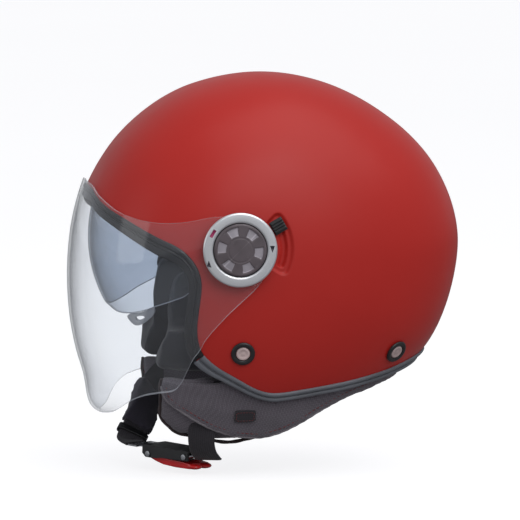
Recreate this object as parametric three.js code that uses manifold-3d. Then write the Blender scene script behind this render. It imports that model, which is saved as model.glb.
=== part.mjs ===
// Open-face (jet) motorcycle helmet with a long clear visor, an inner drop-down sun lens,
// a side dial on each flank and a ratchet-buckle chin strap.
// Millimetres. +Z up, the wearer faces -Y, the wearer's left side is +X.
// The forms are drawn about the line y = 0, z = 0 ("the egg axis"); the last section moves
// the whole so that the origin is the bottom centre of its box.
import * as THREE from 'three';
import { mergeVertices } from 'three/addons/utils/BufferGeometryUtils.js';
import Module from 'manifold-3d';

const wasm = await Module();
wasm.setup();

// ---------------------------------------------------------------- driving dimensions
const SHELL_HALF_WIDTH = 112;      // flank of the shell at the egg axis
const SECTION_POWER = 2.4;         // superellipse power of every cross-section
const RING_CROWDING = 1.25;        // over 1 sets an egg's rings closer together on the flanks
const SHELL_T = 4;                 // shell wall
const SHELL_EDGE_INSET = 2.4;      // shell edge, behind the edge of the opening
const TRIM_T = 1.6;                // rubber lip over the wall, each face
const TRIM_GAP = 0.3;              // between the wall and its rubber channel
const BASE_TRIM_TOP = -71.4;       // where the base rubber gives way to the face rubber
const FACE_TRIM_BOTTOM = -71;
const VISOR_HALF_WIDTH = 118;
const VISOR_T = 1.9;
const HUB_HOLE_R = 16.9;
const LENS_RADIUS = 101.8;
const LENS_HALF_WIDTH = 105.6;
const LENS_T = 1.6;
const ARM_GAP = 0.3;               // between the lens surface and the arms or tab inside it
const FOAM_POCKET = { radius: 93.5, halfWidth: 101.2 };   // foam behind the sun lens
const LENS_SWEEP = { radius: 99, halfWidth: 102 };        // cleared above the comfort liner
const FOAM_GAP = 2.3;              // between shell and foam
const CAVITY_HALF_WIDTH = 77;      // head space
const LINER_T = 7.5;
const CHEEK_INNER = { radius: 135, halfWidth: 56 };
const ROLL_HALF_WIDTH = 96;
const ROLL_T = 17;
const POST_R = 4.5;
const POST_BORE_R = 2.2;
const SLIDE_DIR_DEG = 65;          // visor carrier travel, above straight ahead
const SLIDE_TRAVEL = 10;
const PIVOT_UP = 7.8;              // visor and lens axis, above the egg axis
const SLIDER_R = 33.5;             // thumb slider's radius about the visor axis
const SLIDER_DEG = 150;            // and its angle above straight ahead
const DIAL_R = 27.5;
const CAP_R = 19.4;
const STRAP_W = 20;
const STRAP_T = 2.2;

// egg facets: [round the axis, across]
const SHELL_FACETS = [26, 12];
const FOAM_FACETS = [20, 10];
const VISOR_FACETS = [36, 12];

// ---------------------------------------------------------------- radius tables
// rows are [degrees above straight ahead, radius about the egg axis]
const SHELL_RADII = [
  [-180, 175.6], [-172, 173.8], [-165, 172.2], [-160, 170.9], [-155, 169], [-150, 166],
  [-140, 161], [-128, 157], [-115, 154], [-100, 152], [-85, 150], [-70, 146], [-55, 140],
  [-40, 132], [-28, 126], [-15, 119.5], [0, 114.5], [13, 112.8], [26, 112.8], [36, 113.6],
  [44, 115], [52.5, 116.7], [60, 118.6], [68, 121.1], [76, 123.8], [84, 126.4], [92, 129.6],
  [100, 133.4], [108, 137.4], [116, 141.6], [124, 146.2], [132, 151], [140, 156.3],
  [148, 162.3], [156, 168], [163, 171.8], [170, 174.6], [176, 175.8],
];
const VISOR_RADII = [
  [-180, 200], [-150, 200], [-120, 185], [-100, 172], [-85, 163], [-70, 156], [-60, 151.5],
  [-52, 147.5], [-45, 143.6], [-38, 138], [-30, 131.2], [-20, 124.2], [-10, 119.4],
  [0, 116.6], [10, 115.7], [19, 116], [27, 117.2], [35, 118.4], [45, 121], [60, 126],
  [80, 134], [100, 144], [130, 165], [160, 190],
];
const CAVITY_RADII = [
  [-180, 127], [-150, 130], [-120, 142], [-90, 150], [-60, 122], [-30, 96], [0, 80],
  [30, 79], [60, 84], [90, 95], [120, 110], [150, 122],
];
const ROLL_OUTER_RADII = [
  [-180, 162], [-150, 157], [-128, 155], [-110, 162], [-90, 165], [-60, 165], [-30, 160],
  [0, 150], [60, 150], [120, 160],
];
const ROLL_INNER_RADII = [
  [-180, 147], [-150, 142], [-135, 143], [-122, 152], [-110, 168], [-90, 175], [-60, 175],
  [-30, 170], [0, 150], [60, 150], [120, 150],
];

// ---------------------------------------------------------------- side-view lines, [y, z]
// inner border of the edge rubber, from the brow round the face to the nape
const LIP_LINE = [
  [-150, 62], [-125, 55], [-103.5, 48.5], [-99.5, 43], [-95.9, 38.1], [-89.5, 33.2],
  [-81.9, 28.8], [-68.2, 20.8], [-57.5, 15.2], [-46.7, 10.2], [-39.3, 5.1], [-32.7, -2.4],
  [-28.6, -11], [-27.3, -20], [-28.3, -31], [-29.6, -42], [-30.2, -51], [-29.3, -60.5],
  [-26, -69.5], [-20, -76.2], [-13.4, -81.3], [-5.7, -86], [2, -90.5], [9.9, -95.2],
  [17.7, -98.9], [25.5, -100.9], [33, -101], [40.8, -100.2], [56.2, -98.1], [71.7, -95.9],
  [87.4, -93.4], [103.2, -90.2], [119.2, -86.2], [135, -81], [150, -75.5], [170, -68],
  [200, -57],
];
// free edge of the rubber, bounding the opening
const OPENING_LINE = [
  [-150, 51], [-125, 44], [-104.5, 38], [-101.5, 32.2], [-97.9, 28.1], [-87.9, 20.7],
  [-73, 10.7], [-60.3, 3], [-50.2, -1.9], [-44, -5], [-39.9, -9.6], [-37.6, -16.2],
  [-37.2, -26.5], [-38.6, -38], [-39.8, -49.8], [-39.5, -60], [-36.5, -71], [-30, -79.5],
  [-21, -86], [-11, -91.2], [-1, -96.5], [9, -101.8], [18, -105.4], [25.5, -107.2],
  [33, -107.3], [48.9, -105.3], [64, -103], [80.1, -100.8], [96, -97.8], [111.8, -94.2],
  [128, -89.7], [144.4, -84.2], [160, -78.5], [200, -64],
];
// visor edge, smoothed, then the straight corners that close it in front
const VISOR_EDGE = [
  [-116, 54.5], [-103.9, 51.3], [-99.5, 44.2], [-88.4, 34.6], [-74.9, 29.2], [-60.8, 27],
  [-46.3, 27.2], [-33.8, 28.8], [-19.6, 31.4], [0, 31.8], [14, 27.3], [22.6, 16.8],
  [24, 4.8], [20.8, -8.2], [12.6, -20.6], [2.9, -30], [-10.6, -42.9], [-23.8, -58.2],
  [-28.8, -67.4], [-33.8, -74.6], [-38.2, -84.6], [-42, -93.5], [-47.5, -99.2],
  [-58.8, -101.4], [-68.5, -104.2], [-76.4, -109], [-82.2, -115], [-87.5, -120.5],
  [-96, -123.5],
];
const VISOR_CORNERS = [[-112, -125], [-150, -126], [-150, 56]];
const LENS_EDGE = [
  [-130, -34], [-96, -36.5], [-89.2, -40.8], [-83.6, -44.6], [-75.6, -43.9], [-66, -40.3],
  [-59.3, -37], [-45.4, -31.2], [-38.2, -27.6], [-33, -20], [-33, -6], [-40, 12],
  [-52, 34], [-62, 56], [-72, 80],
];
const LENS_CORNERS = [[-130, 96]];
// neck roll, front to back underneath and back to front on top
const ROLL_LOWER = [
  [-57, -88.7], [-57, -103], [-55.9, -120.2], [-47.8, -130.6], [-37.6, -137.8],
  [-16.9, -144.2], [-1.5, -146.8], [13.3, -143.7], [28, -138.2], [42.9, -131.3],
  [57.8, -123], [72.8, -114], [88.1, -107.5], [103, -103], [118, -97.5], [133, -92],
  [150, -85],
];
const ROLL_LINE = [
  ...ROLL_LOWER, [168, -77], [168, -66], [144.4, -73.6], [128, -79], [111.8, -83.6],
  [96, -87.2], [80, -90.2], [64, -92.4], [48.9, -94.7], [33, -96.2], [25, -95.6],
  [16, -92.6], [6, -89.6], [-8, -88.7],
];
const CHEEK_LINE = [
  [-44, -12], [-50, -30], [-54.5, -52], [-57, -72], [-57, -87], [-20, -87], [4, -86],
  [22, -80], [30, -60], [28, -34], [18, -16], [-4, -9], [-28, -8],
];
// lower part of the cheek pad, which reaches out to the shell
const CHEEK_LOWER_BOX = [[-60, -52], [-60, -87], [60, -87], [60, -52]];

// ---------------------------------------------------------------- chin strap stations
// rows are [x, y, z, outward face direction x, y, z]
const LEFT_STRAP = [
  [94.6, 3.6, -60, 1, 0, -0.15], [93.2, 3.2, -72, 1, 0, -0.3],
  [86.6, -1, -88, 1, -0.1, -0.5], [80, -10, -101, 1, -0.2, -0.5],
  [75.8, -18, -113, 1, -0.3, -0.5], [70.5, -22.5, -125.5, 1, -0.3, -0.55],
  [65.8, -23.6, -138.2, 0.9, -0.3, -0.65], [59.2, -21.4, -147.6, 0.7, -0.25, -0.8],
  [51.6, -17.8, -153, 0.5, -0.15, -0.9], [45.2, -16.2, -154.8, 0.3, -0.07, -1],
];
const RIGHT_STRAP = [
  [-94.6, 3.6, -60, -1, 0, -0.15], [-93.2, 1.6, -72, -1, 0, -0.3],
  [-86.6, -8, -85, -1, -0.15, -0.5], [-80, -20, -93, -1, -0.3, -0.5],
  [-71, -36, -99.5, -0.8, -0.6, -0.35], [-60, -48.5, -108, -0.6, -0.8, -0.3],
  [-47, -55, -119, -0.6, -0.75, -0.4], [-34, -60, -131.5, -0.55, -0.6, -0.65],
  [-21.5, -67, -141.5, -0.4, -0.35, -0.85], [-13, -70.2, -146.6, -0.2, -0.2, -0.95],
  [-7.4, -66.3, -148.5, -0.1, -0.07, -1],
];
const LEFT_STRAP_STEPS = 16;
const RIGHT_STRAP_STEPS = 22;

// ---------------------------------------------------------------- mesh helpers
const rad = THREE.MathUtils.degToRad;
const deg = THREE.MathUtils.radToDeg;
const points = rows => rows.map(row => new THREE.Vector2(...row));

function solid(geometry) {
  const bare = geometry.clone();
  for (const name of ['normal', 'uv', 'uv1', 'color']) {
    if (bare.getAttribute(name)) bare.deleteAttribute(name);
  }
  bare.clearGroups();
  const merged = mergeVertices(bare, 1e-4);
  return new wasm.Manifold(new wasm.Mesh({
    numProp: 3,
    vertProperties: Float32Array.from(merged.getAttribute('position').array),
    triVerts: Uint32Array.from(merged.index.array),
  }));
}

function geometryOf(manifold) {
  const mesh = manifold.getMesh();
  const positions = new Float32Array(mesh.numVert * 3);
  for (let i = 0; i < mesh.numVert; i++) {
    for (let k = 0; k < 3; k++) {
      positions[3 * i + k] = mesh.vertProperties[i * mesh.numProp + k];
    }
  }
  const geometry = new THREE.BufferGeometry();
  geometry.setAttribute('position', new THREE.BufferAttribute(positions, 3));
  geometry.setIndex(new THREE.BufferAttribute(Uint32Array.from(mesh.triVerts), 1));
  geometry.computeVertexNormals();
  return geometry;
}

// replaces every vertex by move(x, y, z)
function moveVertices(geometry, move) {
  const p = geometry.getAttribute('position');
  for (let i = 0; i < p.count; i++) {
    p.setXYZ(i, ...move(p.getX(i), p.getY(i), p.getZ(i)));
  }
  return geometry;
}

// copy on the other side of x = 0, triangles turned to face outward again
function mirrored(geometry) {
  const copy = moveVertices(geometry.clone(), (x, y, z) => [-x, y, z]);
  const index = copy.index.array;
  for (let i = 0; i < index.length; i += 3) {
    [index[i], index[i + 1]] = [index[i + 1], index[i]];
  }
  copy.computeVertexNormals();
  return copy;
}
const mirroredSolid = shape => solid(mirrored(geometryOf(shape)));
const cutBothSides = (body, tool) => body.subtract(tool).subtract(mirroredSolid(tool));

// ---------------------------------------------------------------- eggs
// smooth periodic function of an angle in degrees, through the rows of a radius table
function radiusTable(rows) {
  const count = rows.length;
  const row = i => rows[((i % count) + count) % count];
  const angle = i => row(i)[0] + 360 * Math.floor(i / count);
  const radius = i => row(i)[1];
  const slope = i => (radius(i + 1) - radius(i - 1)) / (angle(i + 1) - angle(i - 1));
  return degrees => {
    const x = ((degrees + 180) % 360 + 360) % 360 - 180;
    let i = 0;
    while (i < count - 1 && angle(i + 1) <= x) i++;
    const span = angle(i + 1) - angle(i);
    const t = (x - angle(i)) / span;
    return (2 * t ** 3 - 3 * t * t + 1) * radius(i)
      + (t ** 3 - 2 * t * t + t) * span * slope(i)
      + (3 * t * t - 2 * t ** 3) * radius(i + 1)
      + (t ** 3 - t * t) * span * slope(i + 1);
  };
}

// egg about the X axis: radiusAt(degrees) at x = 0, closing to nothing at x = +-halfWidth
function egg(radiusAt, halfWidth, facets = SHELL_FACETS, bulge = () => 0) {
  const power = 2 / SECTION_POWER;
  return solid(moveVertices(new THREE.SphereGeometry(1, ...facets), (sx, sy, sz) => {
    const y = THREE.MathUtils.clamp(sy, -1, 1);
    const part = Math.abs(Math.asin(y)) / (Math.PI / 2);
    const latitude = (Math.PI / 2) * (1 - (1 - part) ** RING_CROWDING);
    const spread = part > 0.9999 ? 0 : Math.cos(latitude);
    const around = Math.atan2(sz, sx);
    const x = halfWidth * Math.sign(y) * (part < 1e-6 ? 0 : Math.sin(latitude) ** power);
    const full = radiusAt(deg(around)) + bulge(deg(around), x);
    const radius = full * (spread < 1e-6 ? 0 : spread ** power);
    return [x, -radius * Math.cos(around), radius * Math.sin(around)];
  }));
}

// function giving the egg grown by an offset in radius and half-width
const eggFamily = (radiusAt, halfWidth, facets, bulge) => offset =>
  egg(angle => radiusAt(angle) + offset, halfWidth + offset, facets, bulge);
const wallBetween = (family, outer, inner) => family(outer).subtract(family(inner));
const roundEgg = ({ radius, halfWidth }) => egg(() => radius, halfWidth, FOAM_FACETS);

// half-width of an egg at a side-view point
function halfWidthAt(radiusAt, halfWidth, y, z) {
  const ratio = Math.hypot(y, z) / radiusAt(deg(Math.atan2(z, -y)));
  return halfWidth * Math.max(0, 1 - ratio ** SECTION_POWER) ** (1 / SECTION_POWER);
}

// bulge of the visor's chin lip, added to its radius
const CHIN_BULGE = { height: 9, angle: -50, angleSpread: 5.5, xSpread: 40 };
function chinBulge(angle, x) {
  const { height, angle: middle, angleSpread, xSpread } = CHIN_BULGE;
  return height * Math.exp(-(((angle - middle) / angleSpread) ** 2))
    * Math.exp(-((x / xSpread) ** 2));
}

const shellRadius = radiusTable(SHELL_RADII);
const rollRadius = radiusTable(ROLL_OUTER_RADII);
const shellEgg = eggFamily(shellRadius, SHELL_HALF_WIDTH);
const foamEgg = eggFamily(shellRadius, SHELL_HALF_WIDTH, FOAM_FACETS);
const cavityEgg = eggFamily(radiusTable(CAVITY_RADII), CAVITY_HALF_WIDTH, FOAM_FACETS);
const visorEgg = eggFamily(
  radiusTable(VISOR_RADII), VISOR_HALF_WIDTH, VISOR_FACETS, chinBulge);
const lensEgg = eggFamily(() => LENS_RADIUS, LENS_HALF_WIDTH);
const rollEgg = eggFamily(rollRadius, ROLL_HALF_WIDTH);

// ---------------------------------------------------------------- outlines and prisms
function smooth(line, steps, closed = false) {
  const rows = closed ? [...line, line[0]] : line;
  return new THREE.SplineCurve(points(rows)).getPoints(steps);
}

function extrude(outline, depth) {
  const turned = THREE.ShapeUtils.area(outline) < 0 ? outline.slice().reverse() : outline;
  return new THREE.ExtrudeGeometry(new THREE.Shape(turned), { depth, bevelEnabled: false });
}

// prism along X from x0 to x1, with a side-view outline of Vector2 (y, z)
function prism(outline, x0 = -160, x1 = 160) {
  return solid(moveVertices(extrude(outline, x1 - x0), (x, y, z) => [z + x0, x, y]));
}
const rowPrism = (rows, x0, x1) => prism(points(rows), x0, x1);

// moves an open line sideways; for a line running backward, positive goes down
function shifted(line, distance) {
  return line.map((p, i) => {
    const before = line[Math.max(0, i - 1)];
    const after = line[Math.min(line.length - 1, i + 1)];
    const along = new THREE.Vector2().subVectors(after, before).normalize();
    return new THREE.Vector2(p.x + along.y * distance, p.y - along.x * distance);
  });
}

// everything below and in front of an open side-view line
function belowLine(line) {
  const reach = 230;
  const bottom = -260;
  const corners = points([
    [reach, line[line.length - 1].y], [reach, bottom], [-reach, bottom], [-reach, line[0].y],
  ]);
  return prism(line.concat(corners));
}
const openingEdge = smooth(OPENING_LINE, 42);
// the opening, cut back by an inset into the helmet
const openingRoom = inset => belowLine(shifted(openingEdge, -inset));

// ring sector between two radii and two angles above straight ahead
function sector(innerR, outerR, startDeg, endDeg, steps, up = 0) {
  const arc = radius => Array.from({ length: steps + 1 }, (_, i) => {
    const angle = rad(startDeg + (endDeg - startDeg) * i / steps);
    return new THREE.Vector2(-radius * Math.cos(angle), radius * Math.sin(angle) + up);
  });
  return arc(outerR).concat(arc(innerR).reverse());
}

// ---------------------------------------------------------------- blocks and turned shapes
function block(size, centre, turn = 0) {
  return solid(new THREE.BoxGeometry(...size).rotateZ(turn).translate(...centre));
}
function box([x0, x1], [y0, y1], [z0, z1]) {
  return block([x1 - x0, y1 - y0, z1 - z0], [(x0 + x1) / 2, (y0 + y1) / 2, (z0 + z1) / 2]);
}
function xCylinder(radius, x0, x1, facets, y = 0, z = 0) {
  return solid(new THREE.CylinderGeometry(radius, radius, x1 - x0, facets)
    .rotateZ(-Math.PI / 2).translate((x0 + x1) / 2, y, z));
}
// turned about X; rows are [radius, x], and a profile that starts off the axis is closed
function xLathe(profile, facets) {
  const rows = profile[0][0] === 0 ? profile : [...profile, profile[0]];
  return new THREE.LatheGeometry(points(rows), facets).rotateZ(-Math.PI / 2);
}
// round cord along a curve
function cord(radius, path, steps, curveSegments) {
  const section = new THREE.Shape();
  section.absarc(0, 0, radius, 0, 2 * Math.PI);
  return solid(new THREE.ExtrudeGeometry(section, {
    steps, curveSegments, bevelEnabled: false, extrudePath: path,
  }));
}

// flat band along strap stations, from curve parameter start to end
function band(stations, width, thickness, steps, start = 0, end = 1) {
  const curve = column => new THREE.CatmullRomCurve3(
    stations.map(row => new THREE.Vector3(...row.slice(column, column + 3))));
  const path = curve(0);
  const faces = curve(3);
  return solid(moveVertices(new THREE.BoxGeometry(1, 1, 1, 1, 1, steps), (x, y, z) => {
    const t = start + (end - start) * (z + 0.5);
    const tangent = path.getTangent(t);
    const normal = faces.getPoint(t);
    normal.addScaledVector(tangent, -normal.dot(tangent)).normalize();
    const across = new THREE.Vector3().crossVectors(normal, tangent).normalize();
    return path.getPoint(t)
      .addScaledVector(across, x * width)
      .addScaledVector(normal, y * thickness)
      .toArray();
  }));
}
// whole straps, grown by a clearance in width and thickness
const leftStrap = grow =>
  band(LEFT_STRAP, STRAP_W + grow, STRAP_T + grow, LEFT_STRAP_STEPS);
const rightStrap = grow =>
  band(RIGHT_STRAP, STRAP_W + grow, STRAP_T + grow, RIGHT_STRAP_STEPS);
const leftStrapRoom = leftStrap(1.4);
const rightStrapRoom = rightStrap(1.4);

// ---------------------------------------------------------------- materials and meshes
const MATERIALS = {
  red_shell: { color: 0xb0403a, roughness: 0.42 },
  seal_rubber: { color: 0x48494e, roughness: 0.6 },
  trim_rubber: { color: 0x6d7076, roughness: 0.55 },
  clear_visor: { color: 0xe3e7f3, roughness: 0.08, transparent: true, opacity: 0.35 },
  sun_lens: { color: 0xa9b2c8, roughness: 0.1, transparent: true, opacity: 0.5 },
  satin_metal: { color: 0xc9cbd0, roughness: 0.3, metalness: 0.9 },
  dial_plastic: { color: 0x5a5156, roughness: 0.45 },
  black_plastic: { color: 0x1b1b1d, roughness: 0.4 },
  snap_centre: { color: 0xc2a8a7, roughness: 0.4 },
  foam: { color: 0xe8e8e6, roughness: 0.95 },
  liner_fabric: { color: 0x45424a, roughness: 0.95 },
  roll_fabric: { color: 0x48414a, roughness: 0.9 },
  piping: { color: 0x5b2428, roughness: 0.8 },
  strap_webbing: { color: 0x2b292e, roughness: 0.9 },
  steel: { color: 0xb9bcc0, roughness: 0.3, metalness: 1 },
  lever_red: { color: 0xd9272b, roughness: 0.35 },
};
const model = new THREE.Group();

function addGeometry(name, geometry, material, parent = model) {
  const mesh = new THREE.Mesh(
    geometry, new THREE.MeshStandardMaterial(MATERIALS[material]));
  mesh.name = name;
  parent.add(mesh);
}
function add(name, shape, material, parent) {
  addGeometry(name, geometryOf(shape), material, parent);
}
// a left piece, raised by up, and its mirror image
function addPair(name, shape, material, up = 0) {
  const left = geometryOf(shape).translate(0, 0, up);
  addGeometry(name + '_left', left, material);
  addGeometry(name + '_right', mirrored(left), material);
}

// ---------------------------------------------------------------- press snap places
const SNAPS = [
  { where: 'front', y: 3.6, z: -70 },
  { where: 'rear', y: 121.3, z: -73 },
];

// moves a shape drawn about +X onto the left flank at (y, z), square to the shell
function onFlank(geometry, { y, z }) {
  const width = (a, b) => halfWidthAt(shellRadius, SHELL_HALF_WIDTH, a, b);
  const step = 0.5;
  const normal = new THREE.Vector3(
    1,
    -(width(y + step, z) - width(y - step, z)) / (2 * step),
    -(width(y, z + step) - width(y, z - step)) / (2 * step),
  ).normalize();
  const turn = new THREE.Quaternion().setFromUnitVectors(new THREE.Vector3(1, 0, 0), normal);
  return geometry.applyQuaternion(turn).translate(width(y, z), y, z);
}
// drills both flanks at every snap
function drillSnaps(body, radius) {
  return SNAPS.reduce((drilled, snap) => {
    const drill = new THREE.CylinderGeometry(radius, radius, 16, 16).rotateZ(-Math.PI / 2);
    return cutBothSides(drilled, solid(onFlank(drill, snap)));
  }, body);
}

// ---------------------------------------------------------------- shell
function outerShell() {
  const recessDepth = 1.6;
  const track = (halfBand, startDeg, endDeg) =>
    sector(SLIDER_R - halfBand, SLIDER_R + halfBand, startDeg, endDeg, 12, PIVOT_UP);
  const sliderRecess = prism(track(7, 136, 212), 60, 160).subtract(shellEgg(-recessDepth));
  const sliderSlot = prism(track(2.5, 143.2, 204.8), 90, 130);
  const shell = wallBetween(shellEgg, 0, -SHELL_T)
    .subtract(openingRoom(SHELL_EDGE_INSET))
    .subtract(sliderRecess)
    .subtract(sliderSlot);
  const pivotHole = xCylinder(3.3, 90, 130, 16, 0, PIVOT_UP);
  return drillSnaps(cutBothSides(shell, pivotHole), 2.6);
}
add('outer_shell', outerShell(), 'red_shell');

// ---------------------------------------------------------------- edge rubber
// a channel hugging the wall, in two lengths
function edgeChannel() {
  const skin = wallBetween(shellEgg, TRIM_T, -SHELL_T - TRIM_T);
  const wallRoom = wallBetween(shellEgg, TRIM_GAP, -SHELL_T - TRIM_GAP)
    .subtract(openingRoom(SHELL_EDGE_INSET - TRIM_GAP));
  return skin
    .intersect(belowLine(smooth(LIP_LINE, 42)))
    .subtract(openingRoom(0))
    .subtract(wallRoom);
}
const channel = edgeChannel();
const slabBelow = top => box([-170, 170], [-200, 220], [-200, top]);
add('face_trim', channel.subtract(slabBelow(FACE_TRIM_BOTTOM)), 'seal_rubber');
add('base_trim', channel.intersect(slabBelow(BASE_TRIM_TOP)), 'trim_rubber');

// ---------------------------------------------------------------- foam, liner and crown pad
function foamLiner() {
  const lensRoom = rowPrism([
    [52, -34], [54, 30], [40, 80], [20, 160], [-150, 160], [-150, -70], [-30, -46], [0, -34],
  ]).subtract(roundEgg(FOAM_POCKET).translate(0, 0, PIVOT_UP));
  const body = foamEgg(-SHELL_T - FOAM_GAP)
    .subtract(lensRoom)
    .subtract(cavityEgg(LINER_T + 0.5))
    .subtract(openingRoom(12.5));
  const screwRoom = xCylinder(8, 96, 110, 12, 0, PIVOT_UP);
  const anchorRoom = xCylinder(13.4, 87.8, 101.5, 14, 3.6, -69);
  const strapped = cutBothSides(body, screwRoom)
    .subtract(leftStrapRoom)
    .subtract(rightStrapRoom);
  return drillSnaps(cutBothSides(strapped, anchorRoom), 5);
}
add('foam_liner', foamLiner(), 'foam');

function comfortLiner() {
  // the raised lens reaches this far back over the liner
  const lensTop = rowPrism([[0, 0], [32.5, 155], [-60, 155]])
    .subtract(roundEgg(LENS_SWEEP).translate(0, 0, PIVOT_UP));
  const frontAndCheeks = rowPrism([
    [-160, -160], [-160, -7], [34, -7], [34, -88], [-4, -88.1], [-4, -160],
  ]);
  const bottom = rowPrism([[-5, -86], [170, -86], [170, -200], [-5, -200]]);
  return wallBetween(cavityEgg, LINER_T, 0)
    .subtract(openingRoom(6))
    .subtract(lensTop)
    .subtract(frontAndCheeks)
    .subtract(bottom)
    .subtract(rowPrism(ROLL_LINE));
}
add('comfort_liner', comfortLiner(), 'liner_fabric');

function crownPad() {
  const disc = new THREE.CylinderGeometry(34, 34, 30, 28).rotateX(Math.PI / 2);
  return solid(disc.translate(0, 16, 97)).intersect(cavityEgg(-0.4));
}
add('crown_pad', crownPad(), 'liner_fabric');

// ---------------------------------------------------------------- cheek pads
function cheekPad() {
  const frame = prism(smooth(CHEEK_LINE, 40, true), 20, 140);
  const main = cavityEgg(LINER_T - 0.1).intersect(frame);
  const lowerFront = shellEgg(-SHELL_T - TRIM_T - 1)
    .intersect(frame)
    .intersect(openingRoom(12))
    .intersect(rowPrism(CHEEK_LOWER_BOX));
  return main.add(lowerFront).subtract(roundEgg(CHEEK_INNER));
}
const cheek = cheekPad();
add('cheek_pad_left', cheek.subtract(leftStrapRoom), 'liner_fabric');
add('cheek_pad_right', mirroredSolid(cheek).subtract(rightStrapRoom), 'liner_fabric');

// ---------------------------------------------------------------- neck roll
function neckRoll() {
  const gap = 0.6;   // to the edge rubber
  const inner = egg(radiusTable(ROLL_INNER_RADII), ROLL_HALF_WIDTH - ROLL_T);
  const comfortPadRoom = band(RIGHT_STRAP, STRAP_W + 8, 12, 8, 0.5, 0.78);
  return rollEgg(0).subtract(inner)
    .intersect(prism(smooth(ROLL_LINE, 48, true)))
    .intersect(shellEgg(-SHELL_T - TRIM_T - gap).add(openingRoom(-gap)))
    .subtract(leftStrapRoom)
    .subtract(rightStrapRoom)
    .subtract(comfortPadRoom);
}
add('neck_roll', neckRoll(), 'roll_fabric');

// ---------------------------------------------------------------- visor
function visorShield() {
  const outline = smooth(VISOR_EDGE, 48).concat(points(VISOR_CORNERS));
  return wallBetween(visorEgg, 0, -VISOR_T)
    .intersect(prism(outline))
    .subtract(xCylinder(HUB_HOLE_R, -140, 140, 28, 0, PIVOT_UP));
}
add('visor_shield', visorShield(), 'clear_visor');

// ---------------------------------------------------------------- side dials
// drawn about the egg axis and raised to the visor axis; profiles are [radius, x]
const POST_PROFILE = [
  [POST_BORE_R, 112.4], [10, 112.4], [10, 113.5], [POST_R, 113.5], [POST_R, 119.8],
  [POST_BORE_R, 119.8],
];
const PLATE_PROFILE = [
  [POST_R + 0.3, 118.5], [DIAL_R - 0.5, 118.5], [DIAL_R - 0.5, 119.5], [POST_R + 0.3, 119.5],
];
const RING_PROFILE = [
  [CAP_R + 0.5, 119.8], [DIAL_R, 119.8], [DIAL_R, 121.2], [DIAL_R - 1.4, 122.4],
  [CAP_R + 1.6, 122.4], [CAP_R + 0.5, 121.6],
];
const CAP_PROFILE = [
  [0, 120.1], [CAP_R, 120.1], [CAP_R, 122.2], [CAP_R - 1.2, 123.2], [8, 123.4], [0, 123.4],
];
const SCREW_PROFILE = [
  [0, 99.7], [5.2, 99.7], [5.2, 101.2], [2, 101.2], [2, 118.5], [0, 118.5],
];

// slot outline along the carrier's travel, from one post position to the other
function travelSlot(radius, length, steps = 6) {
  const direction = rad(SLIDE_DIR_DEG);
  const halfRound = (start, back) => Array.from({ length: steps + 1 }, (_, i) => {
    const angle = start - Math.PI * i / steps;
    return new THREE.Vector2(
      -Math.cos(angle) * radius + Math.cos(direction) * back,
      Math.sin(angle) * radius - Math.sin(direction) * back,
    );
  });
  return halfRound(direction + Math.PI / 2, 0)
    .concat(halfRound(direction - Math.PI / 2, length));
}

function visorCarrier() {
  const clearance = 0.4;
  const slot = travelSlot(POST_R + clearance, SLIDE_TRAVEL + clearance);
  return xCylinder(18.4, 113.75, 114.6, 28)
    .add(xCylinder(16.5, 114.4, 118.2, 28))
    .subtract(prism(slot, 100, 130));
}

// cap with a ring of six shallow pockets in its face
function dialCap() {
  const pockets = 6;
  let cap = solid(xLathe(CAP_PROFILE, 24));
  for (let i = 0; i < pockets; i++) {
    const startDeg = 360 / pockets * i - 10;
    cap = cap.subtract(prism(sector(10.5, 16.2, startDeg, startDeg + 36, 2), 122.1, 130));
  }
  return cap;
}
addPair('pivot_post', solid(xLathe(POST_PROFILE, 16)), 'black_plastic', PIVOT_UP);
addPair('visor_carrier', visorCarrier(), 'black_plastic', PIVOT_UP);
addPair('dial_plate', solid(xLathe(PLATE_PROFILE, 24)), 'black_plastic', PIVOT_UP);
addPair('dial_ring', solid(xLathe(RING_PROFILE, 24)), 'satin_metal', PIVOT_UP);
addPair('dial_cap', dialCap(), 'dial_plastic', PIVOT_UP);
addPair('pivot_screw', solid(xLathe(SCREW_PROFILE, 12)), 'steel', PIVOT_UP);

// ---------------------------------------------------------------- sun lens and its controls
function sunLens() {
  const outline = smooth(LENS_EDGE, 34).concat(points(LENS_CORNERS));
  return wallBetween(lensEgg, 0, -LENS_T).translate(0, 0, PIVOT_UP).intersect(prism(outline));
}
add('sun_lens', sunLens(), 'sun_lens');

// layer lying just inside the lens surface
const insideLens = thickness =>
  wallBetween(lensEgg, -LENS_T - ARM_GAP, -LENS_T - ARM_GAP - thickness);

// curved lever from the axis to the lens corner; the tail runs back to the slider
function lensArm(withTail) {
  let outline = xCylinder(9, 60, 120, 20)
    .add(rowPrism([[-43, -31], [-40, -16], [-34, -1], [0, 8.6], [0, -8.6]], 60, 120));
  if (withTail) {
    outline = outline.add(rowPrism(
      [[0, 7], [0, -7], [24, 6.5], [32, 9.6], [33.5, 20.5], [25, 22]], 60, 120));
  }
  return insideLens(1.8)
    .intersect(outline)
    .subtract(xCylinder(3.2, 60, 130, 16))
    .translate(0, 0, PIVOT_UP);
}
add('lens_arm_left', lensArm(true), 'black_plastic');
addGeometry('lens_arm_right', mirrored(geometryOf(lensArm(false))), 'black_plastic');

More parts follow.
